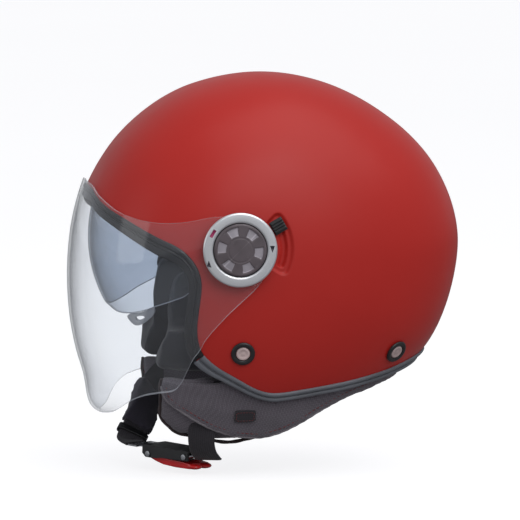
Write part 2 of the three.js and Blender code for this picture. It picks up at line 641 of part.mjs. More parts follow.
// stem through the slot, knob outside, foot against the arm
function thumbSlider() {
  const outward = new THREE.Vector2(-Math.cos(rad(SLIDER_DEG)), Math.sin(rad(SLIDER_DEG)));
  const sideways = new THREE.Vector2(-outward.y, outward.x);
  const centre = outward.clone().multiplyScalar(SLIDER_R).add(new THREE.Vector2(0, PIVOT_UP));
  const plate = (a, b, x0, x1) => prism(
    [[-a, -b], [a, -b], [a, b], [-a, b]].map(([p, q]) => centre.clone()
      .addScaledVector(outward, p).addScaledVector(sideways, q)),
    x0, x1);
  return plate(2.1, 3, 101.4, 111.5)
    .add(plate(5.2, 5.6, 111, 113.2))
    .add(plate(4, 4.4, 101.4, 102.5));
}
add('thumb_slider', thumbSlider(), 'black_plastic');

function lensPullTab() {
  const outline = [
    [-78, -47.5], [-76, -52.5], [-72.5, -55.6], [-69, -54.6], [-64.5, -50], [-60.5, -43.6],
    [-61.5, -38.6], [-64, -40.5], [-70, -44.5],
  ];
  const hole = [[-73, -48.6], [-71.6, -51.4], [-68.6, -50], [-66.6, -47.2], [-69.4, -46.6]];
  return insideLens(2).translate(0, 0, PIVOT_UP)
    .intersect(rowPrism(outline, 20, 140))
    .subtract(rowPrism(hole, 20, 140));
}
add('lens_pull_tab', lensPullTab(), 'black_plastic');

// ---------------------------------------------------------------- snaps and strap anchors
// [radius, height above the shell surface]
const SNAP_RING_PROFILE = [
  [5.4, 0.5], [8.9, 0.5], [8.8, 1.6], [7.6, 2.4], [6.5, 2.4], [5.8, 1.9], [5.4, 1.8],
];
const SNAP_STUD_PROFILE = [
  [0, -7.8], [3.4, -7.8], [3.4, -6.8], [2.2, -6.8], [2.2, 0.45], [5.1, 0.45], [5.1, 1.6],
  [4.2, 2.3], [0, 2.4],
];
for (const snap of SNAPS) {
  const ring = onFlank(xLathe(SNAP_RING_PROFILE, 16), snap);
  const stud = onFlank(xLathe(SNAP_STUD_PROFILE, 14), snap);
  addPair('snap_ring_' + snap.where, solid(ring), 'black_plastic');
  addPair('snap_stud_' + snap.where, solid(stud), 'snap_centre');
}
addPair('strap_anchor', box([88.3, 89.7], [-4.5, 11.5], [-76, -60.5]), 'steel');

// ---------------------------------------------------------------- chin straps
add('chin_strap_left', leftStrap(0), 'strap_webbing');
add('chin_strap_right', rightStrap(0), 'strap_webbing');
const comfortPad = band(RIGHT_STRAP, STRAP_W + 6, 10, 7, 0.53, 0.76)
  .subtract(rightStrap(1.6));
add('strap_comfort_pad', comfortPad, 'liner_fabric');
const keeper = band(RIGHT_STRAP, STRAP_W + 4.6, STRAP_T + 4.4, 1, 0.79, 0.83)
  .subtract(band(RIGHT_STRAP, STRAP_W + 1.8, STRAP_T + 1.8, 3, 0.75, 0.87));
add('strap_keeper', keeper, 'strap_webbing');

// ---------------------------------------------------------------- ratchet buckle
// drawn in its own frame: x along the strap, y across it, z away from the chin
const BUCKLE_PLACE = new THREE.Vector3(19.5, -40.7, -152.1);
const BUCKLE_HALF_W = 13;
const BUCKLE_WALL_T = 1.8;
const LEVER_PIN = { x: -13, z: 2.2 };
const STRAP_PIN = { x: 22.5, z: 0.2 };

function buckleGroup() {
  const along = new THREE.Vector3(40, 38, -3).normalize();
  const away = new THREE.Vector3(0, 0, -1).addScaledVector(along, along.z).normalize();
  const across = new THREE.Vector3().crossVectors(away, along).normalize();
  const group = new THREE.Group();
  group.quaternion.setFromRotationMatrix(
    new THREE.Matrix4().makeBasis(along, across, away));
  group.position.copy(BUCKLE_PLACE);
  return group;
}
const buckle = buckleGroup();
model.add(buckle);

// side profile of [x, z] rows, between y0 and y1
function sidePlate(rows, y0, y1) {
  return solid(moveVertices(extrude(points(rows), y1 - y0), (x, y, z) => [x, y1 - z, y]));
}
const pinHole = ({ x, z }) =>
  solid(new THREE.CylinderGeometry(1.65, 1.65, 40, 20).translate(x, 0, z));

function buckleBody() {
  const wall = [
    [-19, -4.4], [26, -4.4], [26, 2.8], [20, 3.2], [2, 3.4], [-9, 4.8], [-15.6, 4.8], [-19, 2],
  ];
  const inside = BUCKLE_HALF_W - BUCKLE_WALL_T;
  return sidePlate(wall, inside, BUCKLE_HALF_W)
    .add(sidePlate(wall, -BUCKLE_HALF_W, -inside))
    .add(block([45, 2 * BUCKLE_HALF_W, 1.5], [3.5, 0, -3.65]))
    .subtract(pinHole(LEVER_PIN))
    .subtract(pinHole(STRAP_PIN));
}
add('buckle_body', buckleBody(), 'black_plastic', buckle);

// pin across the buckle, with a head at each end
function pin({ x, z }) {
  const end = 14.2;
  const head = { radius: 2.1, start: 13.3 };
  const shankR = 1.5;
  const profile = [   // [radius, y]
    [0, -end], [head.radius, -end], [head.radius, -head.start], [shankR, -head.start],
    [shankR, head.start], [head.radius, head.start], [head.radius, end], [0, end],
  ];
  return solid(new THREE.LatheGeometry(points(profile), 20).translate(x, 0, z));
}
add('lever_pin', pin(LEVER_PIN), 'steel', buckle);
add('strap_pin', pin(STRAP_PIN), 'steel', buckle);

function releaseLever() {
  const profile = [
    [-15.8, 1.8], [-15.1, 4.1], [-12.6, 5.4], [-7, 7.4], [0, 9], [12, 9.6], [22, 9.4],
    [28.5, 9.2], [32.4, 8.2], [33, 6.6], [30, 5], [20, 4.4], [8, 4.1], [-5, 3.6],
    [-7.4, 2.2], [-8.2, -0.4], [-9.4, -0.5], [-10.4, 0.6], [-12.2, -0.5], [-13.6, -0.5],
    [-15, 0.4],
  ];
  const springRoom = block([8, 6.4, 10], [-13.6, 0, 0.2]);
  const cornerCut = side => block([3.2, 30, 20], [34.5, side * 13.5, 6], -side * 0.7);
  const dent = new THREE.SphereGeometry(6, 20, 12).scale(1, 0.8, 0.25).translate(5, 0, 10.1);
  return sidePlate(profile, -10.8, 10.8)
    .subtract(pinHole(LEVER_PIN))
    .subtract(springRoom)
    .subtract(cornerCut(-1))
    .subtract(cornerCut(1))
    .subtract(solid(dent));
}
add('release_lever', releaseLever(), 'lever_red', buckle);

const SPRING = { radius: 2.15, turns: 3.25, length: 5.2, wireR: 0.32 };
class Coil extends THREE.Curve {   // wound round the lever pin
  getPoint(t, out = new THREE.Vector3()) {
    const angle = 2 * Math.PI * SPRING.turns * t;
    return out.set(
      LEVER_PIN.x + SPRING.radius * Math.cos(angle),
      SPRING.length * (t - 0.5),
      LEVER_PIN.z + SPRING.radius * Math.sin(angle),
    );
  }
}
add('lever_spring', cord(SPRING.wireR, new Coil(), 30, 3), 'steel', buckle);

// toothed strip with a slotted cross bar at its end
function ratchetTongue() {
  const end = -33.5;
  const bottom = -2.7;
  const top = -1.5;
  const tip = -0.8;
  const pitch = 2.2;
  const profile = [[end, bottom], [3, bottom], [3, top]];
  for (let i = 0; i < 8; i++) {
    const x = 2 - pitch * i;
    profile.push([x, top], [x - 2, tip], [x - 2.15, top]);
  }
  profile.push([end, top]);
  return sidePlate(profile, -8.4, 8.4)
    .add(block([8.5, 2 * BUCKLE_HALF_W, 1.2], [-29.25, 0, -2.1]))
    .subtract(block([2.8, 20.6, 10], [-30.9, 0, 0]));
}
add('ratchet_tongue', ratchetTongue(), 'steel', buckle);

// ---------------------------------------------------------------- roll piping and tab
// cord under the roll's lower edge, up the left side and down the right
function rollPiping() {
  const drop = 1.9;
  const inset = 1.6;
  const widthAt = p => halfWidthAt(rollRadius, ROLL_HALF_WIDTH, p.x, p.y);
  const edge = smooth(ROLL_LOWER, 30).filter(p => p.x < 150 && widthAt(p) > 14);
  const left = shifted(edge, drop)
    .map((p, i) => new THREE.Vector3(widthAt(edge[i]) - inset, p.x, p.y));
  const right = left.slice().reverse().map(p => new THREE.Vector3(-p.x, p.y, p.z));
  const path = new THREE.CatmullRomCurve3(left.concat(right), false, 'centripetal');
  return cord(1.15, path, 44, 2);
}
add('roll_piping', rollPiping(), 'piping');

// small flat tab on the left outside of the roll
const rollTab = wallBetween(rollEgg, 1.6, 0.5)
  .intersect(rowPrism([[0, -119.6], [15, -119.2], [15, -111.4], [0, -111.8]], 10, 140));
add('roll_tab', rollTab, 'strap_webbing');

// ---------------------------------------------------------------- origin at the bottom centre
model.updateMatrixWorld(true);
const bounds = new THREE.Box3().setFromObject(model, true);
model.position.set(0, -(bounds.min.y + bounds.max.y) / 2, -bounds.min.z);
const helmet = new THREE.Group();
helmet.add(model);
helmet.updateMatrixWorld(true);
export default helmet;
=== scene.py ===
"""Open-face motorcycle helmet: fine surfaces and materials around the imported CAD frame.

Geometry is in millimetres about the shell's egg axis: +Z is up, the wearer faces -Y and the
wearer's left is +X. make_object() moves it into the row frame, in metres. Side-view points are
(y, z); egg angles are degrees above straight ahead, so 90 is up and 180 is behind.
"""
import math
import bmesh
import bpy
import numpy as np
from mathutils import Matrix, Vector
from mathutils.bvhtree import BVHTree
from mathutils.geometry import delaunay_2d_cdt


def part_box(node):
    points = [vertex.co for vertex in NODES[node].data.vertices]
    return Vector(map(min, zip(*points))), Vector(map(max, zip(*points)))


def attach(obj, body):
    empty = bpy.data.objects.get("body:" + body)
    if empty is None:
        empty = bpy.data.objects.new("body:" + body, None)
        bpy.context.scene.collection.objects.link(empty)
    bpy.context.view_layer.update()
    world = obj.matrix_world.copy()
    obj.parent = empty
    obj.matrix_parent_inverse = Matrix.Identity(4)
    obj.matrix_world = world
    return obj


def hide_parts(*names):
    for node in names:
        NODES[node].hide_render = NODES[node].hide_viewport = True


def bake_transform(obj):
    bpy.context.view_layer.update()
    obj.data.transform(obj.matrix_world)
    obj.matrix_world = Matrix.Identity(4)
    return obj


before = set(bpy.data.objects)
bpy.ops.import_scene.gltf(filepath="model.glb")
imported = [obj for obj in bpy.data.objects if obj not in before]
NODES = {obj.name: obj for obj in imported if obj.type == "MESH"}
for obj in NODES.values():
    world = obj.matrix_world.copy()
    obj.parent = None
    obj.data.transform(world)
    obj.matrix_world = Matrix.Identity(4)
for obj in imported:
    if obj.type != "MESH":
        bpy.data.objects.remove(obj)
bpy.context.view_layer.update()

# ------------------------------------------------------------------ driving sizes, mm
PIVOT_UP = 7.8   # height of the visor and lens axis above the egg axis
_low, _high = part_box("pivot_post_left")
PIVOT = np.array([0.0, (_low[1] + _high[1]) / 2, (_low[2] + _high[2]) / 2]) * 1000.0
AXIS = PIVOT - np.array([0, 0, PIVOT_UP])   # the egg axis in the row frame

SECTION_POWER = 2.4   # superellipse power of every egg's cross-section
SHELL_HALF_WIDTH, SHELL_THICKNESS = 112.0, 4.0
VISOR_HALF_WIDTH, VISOR_THICKNESS = 118.0, 1.9
LENS_HALF_WIDTH, LENS_THICKNESS = 105.6, 1.6
CAVITY_HALF_WIDTH = 77.0
ROLL_HALF_WIDTH = 96.0
STRAP_WIDTH, STRAP_THICKNESS = 20.0, 2.2

SHELL_COLUMNS = 460
TRIM_RINGS = 760
VISOR_COLUMNS = 240
LENS_COLUMNS = 150
LINING_COLUMNS = 210

SIDES = ((1, "left"), (-1, "right"))   # sign of x, name

# Egg profiles: (angle, radius) on the centre plane
SHELL_PROFILE = [
    [-180, 175.6], [-172, 173.8], [-165, 172.2], [-160, 170.9], [-155, 169], [-150, 166],
    [-140, 161], [-128, 157], [-115, 154], [-100, 152], [-85, 150], [-70, 146], [-55, 140],
    [-40, 132], [-28, 126], [-15, 119.5], [0, 114.5], [13, 112.8], [26, 112.8], [36, 113.6],
    [44, 115], [52.5, 116.7], [60, 118.6], [68, 121.1], [76, 123.8], [84, 126.4], [92, 129.6],
    [100, 133.4], [108, 137.4], [116, 141.6], [124, 146.2], [132, 151], [140, 156.3],
    [148, 162.3], [156, 168], [163, 171.8], [170, 174.6], [176, 175.8]]
VISOR_PROFILE = [
    [-180, 200], [-150, 200], [-120, 185], [-100, 172], [-85, 163], [-70, 156], [-60, 151.5],
    [-52, 147.5], [-45, 143.6], [-38, 138], [-30, 131.2], [-20, 124.2], [-10, 119.4],
    [0, 116.6], [10, 115.7], [19, 116], [27, 117.2], [35, 118.4], [45, 121], [60, 126],
    [80, 134], [100, 144], [130, 165], [160, 190]]
LENS_PROFILE = [[-180, 101.8], [-90, 101.8], [0, 101.8], [90, 101.8]]
CAVITY_PROFILE = [
    [-180, 127], [-150, 130], [-120, 142], [-90, 150], [-60, 122], [-30, 96], [0, 80],
    [30, 79], [60, 84], [90, 95], [120, 110], [150, 122]]
ROLL_PROFILE = [
    [-180, 162], [-150, 157], [-128, 155], [-110, 162], [-90, 165], [-60, 165], [-30, 160],
    [0, 150], [60, 150], [120, 160]]

# Side-view lines: (y, z). The rubber edging lies between the lip line and the opening line.
LIP_POINTS = [
    [-150, 62], [-125, 55], [-103.5, 48.5], [-99.5, 43], [-95.9, 38.1], [-89.5, 33.2],
    [-81.9, 28.8], [-68.2, 20.8], [-57.5, 15.2], [-46.7, 10.2], [-39.3, 5.1], [-32.7, -2.4],
    [-28.6, -11], [-27.3, -20], [-28.3, -31], [-29.6, -42], [-30.2, -51], [-29.3, -60.5],
    [-26, -69.5], [-20, -76.2], [-13.4, -81.3], [-5.7, -86], [2, -90.5], [9.9, -95.2],
    [17.7, -98.9], [25.5, -100.9], [33, -101], [40.8, -100.2], [56.2, -98.1], [71.7, -95.9],
    [87.4, -93.4], [103.2, -90.2], [119.2, -86.2], [135, -81], [150, -75.5], [170, -68],
    [200, -57]]
OPENING_POINTS = [
    [-150, 51], [-125, 44], [-104.5, 38], [-101.5, 32.2], [-97.9, 28.1], [-87.9, 20.7],
    [-73, 10.7], [-60.3, 3], [-50.2, -1.9], [-44, -5], [-39.9, -9.6], [-37.6, -16.2],
    [-37.2, -26.5], [-38.6, -38], [-39.8, -49.8], [-39.5, -60], [-36.5, -71], [-30, -79.5],
    [-21, -86], [-11, -91.2], [-1, -96.5], [9, -101.8], [18, -105.4], [25.5, -107.2],
    [33, -107.3], [48.9, -105.3], [64, -103], [80.1, -100.8], [96, -97.8], [111.8, -94.2],
    [128, -89.7], [144.4, -84.2], [160, -78.5], [200, -64]]
VISOR_EDGE = [
    [-116, 54.5], [-103.9, 51.3], [-99.5, 44.2], [-88.4, 34.6], [-74.9, 29.2], [-60.8, 27],
    [-46.3, 27.2], [-33.8, 28.8], [-19.6, 31.4], [0, 31.8], [14, 27.3], [22.6, 16.8],
    [24, 4.8], [20.8, -8.2], [12.6, -20.6], [2.9, -30], [-10.6, -42.9], [-23.8, -58.2],
    [-28.8, -67.4], [-33.8, -74.6], [-38.2, -84.6], [-42, -93.5], [-47.5, -99.2],
    [-58.8, -101.4], [-68.5, -104.2], [-76.4, -109], [-82.2, -115], [-87.5, -120.5],
    [-96, -123.5]]
VISOR_CORNERS = [[-112, -125], [-150, -126], [-150, 56]]   # straight, in front of the egg
LENS_EDGE = [
    [-130, -34], [-96, -36.5], [-89.2, -40.8], [-83.6, -44.6], [-75.6, -43.9], [-66, -40.3],
    [-59.3, -37], [-45.4, -31.2], [-38.2, -27.6], [-33, -20], [-33, -6], [-40, 12],
    [-52, 34], [-62, 56], [-72, 80]]
LENS_CORNER = [[-130, 96]]
ROLL_LOWER_EDGE = [
    [-57, -88.7], [-57, -103], [-55.9, -120.2], [-47.8, -130.6], [-37.6, -137.8],
    [-16.9, -144.2], [-1.5, -146.8], [13.3, -143.7], [28, -138.2], [42.9, -131.3],
    [57.8, -123], [72.8, -114], [88.1, -107.5], [103, -103], [118, -97.5], [133, -92],
    [150, -85]]
ROLL_UPPER_EDGE = [
    [168, -77], [168, -66], [144.4, -73.6], [128, -79], [111.8, -83.6], [96, -87.2],
    [80, -90.2], [64, -92.4], [48.9, -94.7], [33, -96.2], [25, -95.6], [16, -92.6],
    [6, -89.6], [-8, -88.7]]

# Strap centre lines (x, y, z) and the direction each face looks
LEFT_STRAP_PATH = [
    [94.6, 3.6, -60], [93.2, 3.2, -72], [86.6, -1, -88], [80, -10, -101],
    [75.8, -18, -113], [70.5, -22.5, -125.5], [65.8, -23.6, -138.2],
    [59.2, -21.4, -147.6], [51.6, -17.8, -153], [45.2, -16.2, -154.8]]
LEFT_STRAP_NORMALS = [
    [1, 0, -0.15], [1, 0, -0.3], [1, -0.1, -0.5], [1, -0.2, -0.5], [1, -0.3, -0.5],
    [1, -0.3, -0.55], [0.9, -0.3, -0.65], [0.7, -0.25, -0.8], [0.5, -0.15, -0.9],
    [0.3, -0.07, -1]]
RIGHT_STRAP_PATH = [
    [-94.6, 3.6, -60], [-93.2, 1.6, -72], [-86.6, -8, -85], [-80, -20, -93],
    [-71, -36, -99.5], [-60, -48.5, -108], [-47, -55, -119], [-34, -60, -131.5],
    [-21.5, -67, -141.5], [-13, -70.2, -146.6], [-7.4, -66.3, -148.5]]
RIGHT_STRAP_NORMALS = [
    [-1, 0, -0.15], [-1, 0, -0.3], [-1, -0.15, -0.5], [-1, -0.3, -0.5],
    [-0.8, -0.6, -0.35], [-0.6, -0.8, -0.3], [-0.6, -0.75, -0.4], [-0.55, -0.6, -0.65],
    [-0.4, -0.35, -0.85], [-0.2, -0.2, -0.95], [-0.1, -0.07, -1]]


# ------------------------------------------------------------------ curves and outlines
def smoothstep(value, low, high):
    t = np.clip((value - low) / (high - low), 0, 1)
    return t * t * (3 - 2 * t)


def signed_power(value, exponent):
    return np.sign(value) * np.abs(value) ** exponent


def unit(vector):
    return vector / np.linalg.norm(vector)


def unit_rows(vectors):
    return vectors / np.linalg.norm(vectors, axis=1)[:, None]


def periodic_curve(rows):
    """Smooth 360-degree function through rows of (angle, value)."""
    knots = np.array([r[0] for r in rows], float)
    values = np.array([r[1] for r in rows], float)
    knots = np.concatenate([knots[-2:] - 360, knots, knots[:3] + 360])
    values = np.concatenate([values[-2:], values, values[:3]])
    slopes = np.zeros_like(values)
    slopes[1:-1] = (values[2:] - values[:-2]) / (knots[2:] - knots[:-2])

    def evaluate(angle):
        angle = (np.asarray(angle, float) + 180.0) % 360.0 - 180.0
        i = np.clip(np.searchsorted(knots, angle, side="right") - 1, 1, len(knots) - 3)
        span = knots[i + 1] - knots[i]
        t = (angle - knots[i]) / span
        return ((2 * t**3 - 3 * t * t + 1) * values[i]
                + (t**3 - 2 * t * t + t) * span * slopes[i]
                + (3 * t * t - 2 * t**3) * values[i + 1]
                + (t**3 - t * t) * span * slopes[i + 1])

    return evaluate


def spline(line, per=24, closed=False):
    """Catmull-Rom curve through the rows of line, per points to a span."""
    p = np.array(line, float)
    if closed:
        q = np.vstack([p[-1], p, p[0], p[1]])
    else:
        q = np.vstack([2 * p[0] - p[1], p, 2 * p[-1] - p[-2]])
    t = np.linspace(0, 1, per, endpoint=False)[:, None]
    out = []
    for i in range(1, len(q) - 2):
        p0, p1, p2, p3 = q[i - 1], q[i], q[i + 1], q[i + 2]
        out.append(0.5 * (2 * p1 + (p2 - p0) * t + (2 * p0 - 5 * p1 + 4 * p2 - p3) * t**2
                          + (3 * p1 - p0 - 3 * p2 + p3) * t**3))
    if not closed:
        out.append(p[-1:])
    return np.vstack(out)


def centripetal_curve(points):
    """Centripetal Catmull-Rom curve through 3-D points, as a function of t in 0..1."""
    pts = np.array(points, float)
    n = len(pts)

    def at(t):
        t = float(min(max(t, 0.0), 1.0))
        s = (n - 1) * t
        i = min(int(s), n - 2)
        w = s - i
        p1, p2 = pts[i], pts[i + 1]
        p0 = pts[i - 1] if i > 0 else 2 * pts[0] - pts[1]
        p3 = pts[i + 2] if i + 2 < n else 2 * pts[-1] - pts[-2]
        d0, d1, d2 = (max(np.linalg.norm(b - a), 1e-6) ** 0.5
                      for a, b in ((p0, p1), (p1, p2), (p2, p3)))
        t1 = ((p1 - p0) / d0 - (p2 - p0) / (d0 + d1) + (p2 - p1) / d1) * d1
        t2 = ((p2 - p1) / d1 - (p3 - p1) / (d1 + d2) + (p3 - p2) / d2) * d1
        return (p1 + t1 * w + (-3 * p1 + 3 * p2 - 2 * t1 - t2) * w * w
                + (2 * p1 - 2 * p2 + t1 + t2) * w**3)
    return at


def shifted(line, distance):
    """Moves an open side-view line sideways; positive goes down and forward."""
    g = np.gradient(line, axis=0)
    g /= np.linalg.norm(g, axis=1)[:, None] + 1e-12
    return np.stack([line[:, 0] + g[:, 1] * distance, line[:, 1] - g[:, 0] * distance], 1)


def opening(line):
    """Polygon of everything in front of and below a side-view line."""
    return np.vstack([line, [[230, line[-1, 1]], [230, -260], [-230, -260], [-230, line[0, 1]]]])


def in_poly(y, z, poly):
    y, z = np.asarray(y, float), np.asarray(z, float)
    inside = np.zeros(y.shape, bool)
    for i in range(len(poly)):
        (y0, z0), (y1, z1) = poly[i - 1], poly[i]
        if z0 == z1:
            continue
        inside ^= ((z0 > z) != (z1 > z)) & (y < (y1 - y0) * (z - z0) / (z1 - z0) + y0)
    return inside


def travel(path):
    """Distance along a path at each of its points."""
    steps = np.linalg.norm(np.diff(path, axis=0), axis=1)
    return np.concatenate([[0], np.cumsum(steps)])


def interp_rows(at, along, rows):
    return np.stack([np.interp(at, along, column) for column in np.asarray(rows).T], -1)


def resample(path, count):
    path = np.asarray(path, float)
    along = travel(path)
    return interp_rows(np.linspace(0, along[-1], count), along, path)


def even(path, step):
    return resample(path, max(4, int(travel(path)[-1] / step)))


def smooth_path(path, times):
    p = np.array(path, float)
    for _ in range(times):
        p[1:-1] = 0.25 * p[:-2] + 0.5 * p[1:-1] + 0.25 * p[2:]
    return p


def disc(y, z, radius, count):
    a = np.linspace(0, 2 * math.pi, count, endpoint=False)
    return np.column_stack([y + radius * np.cos(a), z + radius * np.sin(a)])


def round_corner(a, b, c, radius, share, steps):
    """Points that replace corner b; the cut takes at most share of either side."""
    u, w = a - b, c - b
    lu, lw = np.linalg.norm(u), np.linalg.norm(w)
    cut = min(radius, lu * share, lw * share)
    start, end = b + u / lu * cut, b + w / lw * cut
    return [(1 - t) ** 2 * start + 2 * t * (1 - t) * b + t * t * end
            for t in (k / steps for k in range(steps + 1))]


def rounded(profile, radius, steps=3):
    """Rounds the corners of a lathe profile, apart from points on its axis."""
    p = np.array(profile, float)
    out = []
    for i in range(len(p)):
        if p[i][0] < 1e-6:
            out.append(p[i])
        else:
            out += round_corner(p[i - 1], p[i], p[(i + 1) % len(p)], radius, 0.45, steps)
    return np.array(out)


# ------------------------------------------------------------------ eggs and sheets over them
class Egg:
    """Superelliptic body about the x axis. theta is 0 on the left flank, pi/2 on the centre
    plane and pi on the right flank."""

    def __init__(self, half_width, profile, bulge=None):
        self.half_width = half_width
        self.radius = periodic_curve(profile)
        self.bulge = bulge

    def point(self, theta, angle, offset=0.0):
        theta, angle = np.broadcast_arrays(np.asarray(theta, float), np.asarray(angle, float))
        x = (self.half_width + offset) * signed_power(np.cos(theta), 2 / SECTION_POWER)
        radius = self.radius(angle) + offset
        if self.bulge is not None:
            radius = radius + self.bulge(angle, x)
        r = radius * np.abs(np.sin(theta)) ** (2 / SECTION_POWER)
        a = np.radians(angle)
        return np.stack([x, -r * np.cos(a), r * np.sin(a)], -1)

    def from_side(self, y, z):
        """(theta, angle) of side-view points; theta is pi/2 at or past the silhouette."""
        angle = np.degrees(np.arctan2(z, -y))
        reach = np.clip(np.hypot(y, z) / self.radius(angle), 0, 1)
        return np.arcsin(np.clip(reach ** (SECTION_POWER / 2), 0, 1)), angle

    def width_at(self, y, z):
        theta, _ = self.from_side(np.asarray(y, float), np.asarray(z, float))
        return self.half_width * np.abs(np.cos(theta)) ** (2 / SECTION_POWER)


def lip_bulge(angle, x):
    """Swelling of the visor around 50 degrees below ahead, on the centre plane."""
    return 9 * np.exp(-(((angle + 50) / 5.5) ** 2)) * np.exp(-((x / 40) ** 2))


shell_egg = Egg(SHELL_HALF_WIDTH, SHELL_PROFILE)
visor_egg = Egg(VISOR_HALF_WIDTH, VISOR_PROFILE, lip_bulge)
lens_egg = Egg(LENS_HALF_WIDTH, LENS_PROFILE)
cavity_egg = Egg(CAVITY_HALF_WIDTH, CAVITY_PROFILE)
roll_egg = Egg(ROLL_HALF_WIDTH, ROLL_PROFILE)
lip_line, open_line = spline(LIP_POINTS), spline(OPENING_POINTS)


def theta_rows(radius, half_width, start, step):
    """theta values from side-view radius start to the centre plane, step(r) mm apart."""
    theta = np.linspace(1e-3, math.pi / 2, 40001)
    x = half_width * np.abs(np.cos(theta)) ** (2 / SECTION_POWER)
    r = radius * np.sin(theta) ** (2 / SECTION_POWER)
    length = np.concatenate([[0], np.cumsum(np.hypot(np.diff(x), np.diff(r)))])
    s = np.interp(start, r, length)
    out = [s]
    while s < length[-1]:
        s += step(np.interp(s, length, r))
        out.append(s)
    out = np.array(out)
    out = out[0] + (out - out[0]) * (length[-1] - out[0]) / (out[-1] - out[0])
    return np.interp(out, length, theta)


def kept_arcs(point, keep, thetas, start, seam):
    """Ends of the kept arc of each row, searched both ways from angle start; rows with no end
    run all round from seam."""
    scan = np.arange(0, 360.5, 1.0)
    ends = []
    for sign in (-1, 1):
        angle = np.repeat((start + sign * scan)[None, :], len(thetas), 0)
        p = point(thetas[:, None], angle)
        bad = ~keep(p[..., 1], p[..., 2])
        j = np.maximum(bad.argmax(1), 1)
        a, b = start + sign * scan[j - 1], start + sign * scan[j]
        for _ in range(20):
            middle = (a + b) / 2
            q = point(thetas, middle)
            good = keep(q[:, 1], q[:, 2])
            a, b = np.where(good, middle, a), np.where(good, b, middle)
        ends.append(np.where(bad.any(1), a, np.nan))
    low, high = ends
    full = np.isnan(low) | np.isnan(high)
    return np.where(full, seam, low), np.where(full, seam + 360, high)


class Sheet:
    """A grid over an egg, both flanks sharing the centre row. Rows nearest the flank centre
    slide up by lift, staying on the egg."""

    LIFT_FADE = (20.0, 48.0)   # side-view radii over which the lift fades out

    def __init__(self, egg, keep, start, seam, thetas, columns, lift=0.0):
        self.egg, self.lift = egg, lift
        low, high = kept_arcs(self.point, keep, thetas, start, seam)
        t = np.linspace(0, 1, columns)
        angle = low[:, None] + (high - low)[:, None] * t[None, :]
        theta = np.repeat(thetas[:, None], columns, 1)
        self.angle = np.vstack([angle, angle[-2::-1]])
        self.theta = np.vstack([theta, math.pi - theta[-2::-1]])
        closed = (high - low) > 359.9
        closed = np.concatenate([closed, closed[-2::-1]])
        rows = 2 * len(thetas) - 1
        idx = np.arange(rows * columns).reshape(rows, columns)
        idx[closed, -1] = idx[closed, 0]
        corners = [idx[:-1, :-1], idx[:-1, 1:], idx[1:, 1:], idx[1:, :-1]]
        self.faces = np.stack(corners, -1).reshape(-1, 4)

    def verts(self, offset=0.0):
        return self.point(self.theta, self.angle, offset).reshape(-1, 3)

    def point(self, theta, angle, offset=0.0):
        p = self.egg.point(theta, angle, offset)
        if not self.lift:
            return p
        y, z = p[..., 1], p[..., 2]
        far = np.hypot(y, z) > self.LIFT_FADE[1]
        z = z + self.lift * (1 - smoothstep(np.hypot(y, z), *self.LIFT_FADE))
        reach = np.hypot(y, z) / (self.egg.radius(np.degrees(np.arctan2(z, -y))) + offset)
        rest = np.maximum(1 - reach**SECTION_POWER, 0) ** (1 / SECTION_POWER)
        x = (self.egg.half_width + offset) * rest
        return np.stack([np.where(far, p[..., 0], np.sign(p[..., 0]) * x), y, z], -1)


def vertex_normals(verts, quads):
    normals = np.zeros_like(verts)
    face_normals = np.cross(verts[quads[:, 2]] - verts[quads[:, 0]],
                            verts[quads[:, 3]] - verts[quads[:, 1]])
    for k in range(4):
        np.add.at(normals, quads[:, k], face_normals)
    return normals / (np.linalg.norm(normals, axis=1)[:, None] + 1e-12)


def border_edges(faces):
    """Directed edges that belong to one face only."""
    sides = faces.shape[1]
    edges = np.vstack([faces[:, [k, (k + 1) % sides]] for k in range(sides)])
    _, first, count = np.unique(np.sort(edges, 1), axis=0, return_index=True,
                                return_counts=True)
    return edges[first[count == 1]]


def thick(outer, inner, faces, rim, swell):
    """Closed body between two copies of an open grid, with rim rings of vertices round its
    edge that bulge by swell times the wall. Rim faces come last and are flagged 1."""
    used = np.unique(faces)
    remap = -np.ones(len(outer), int)
    remap[used] = np.arange(len(used))
    f = remap[faces]
    f = f[(f != np.roll(f, -1, axis=1)).all(1)]
    outer, inner = outer[used], inner[used]
    n = len(used)
    border = border_edges(f)
    normals = vertex_normals(outer, f)
    out = np.zeros_like(outer)
    d = np.cross(outer[border[:, 1]] - outer[border[:, 0]],
                 normals[border[:, 0]] + normals[border[:, 1]])
    d /= np.linalg.norm(d, axis=1)[:, None] + 1e-12
    np.add.at(out, border[:, 0], d)
    np.add.at(out, border[:, 1], d)
    ring = np.unique(border)
    out = out[ring] / (np.linalg.norm(out[ring], axis=1)[:, None] + 1e-12)
    wall = np.linalg.norm(outer[ring] - inner[ring], axis=1)[:, None]
    verts = [outer, inner]
    rows = [border]
    in_ring = np.searchsorted(ring, border)
    for s in range(1, rim + 1):
        t = s / (rim + 1)
        bulge = out * wall * swell * math.sin(math.pi * t) ** 0.8
        verts.append(outer[ring] * (1 - t) + inner[ring] * t + bulge)
        rows.append(in_ring + 2 * n + (s - 1) * len(ring))
    rows.append(border + n)
    quads = [np.stack([a[:, 1], a[:, 0], b[:, 0], b[:, 1]], 1)
             for a, b in zip(rows[:-1], rows[1:])]
    all_faces = np.vstack([f, f[:, ::-1] + n] + quads)
    flags = np.zeros(len(all_faces), int)
    flags[2 * len(f):] = 1
    return np.vstack(verts), all_faces, flags


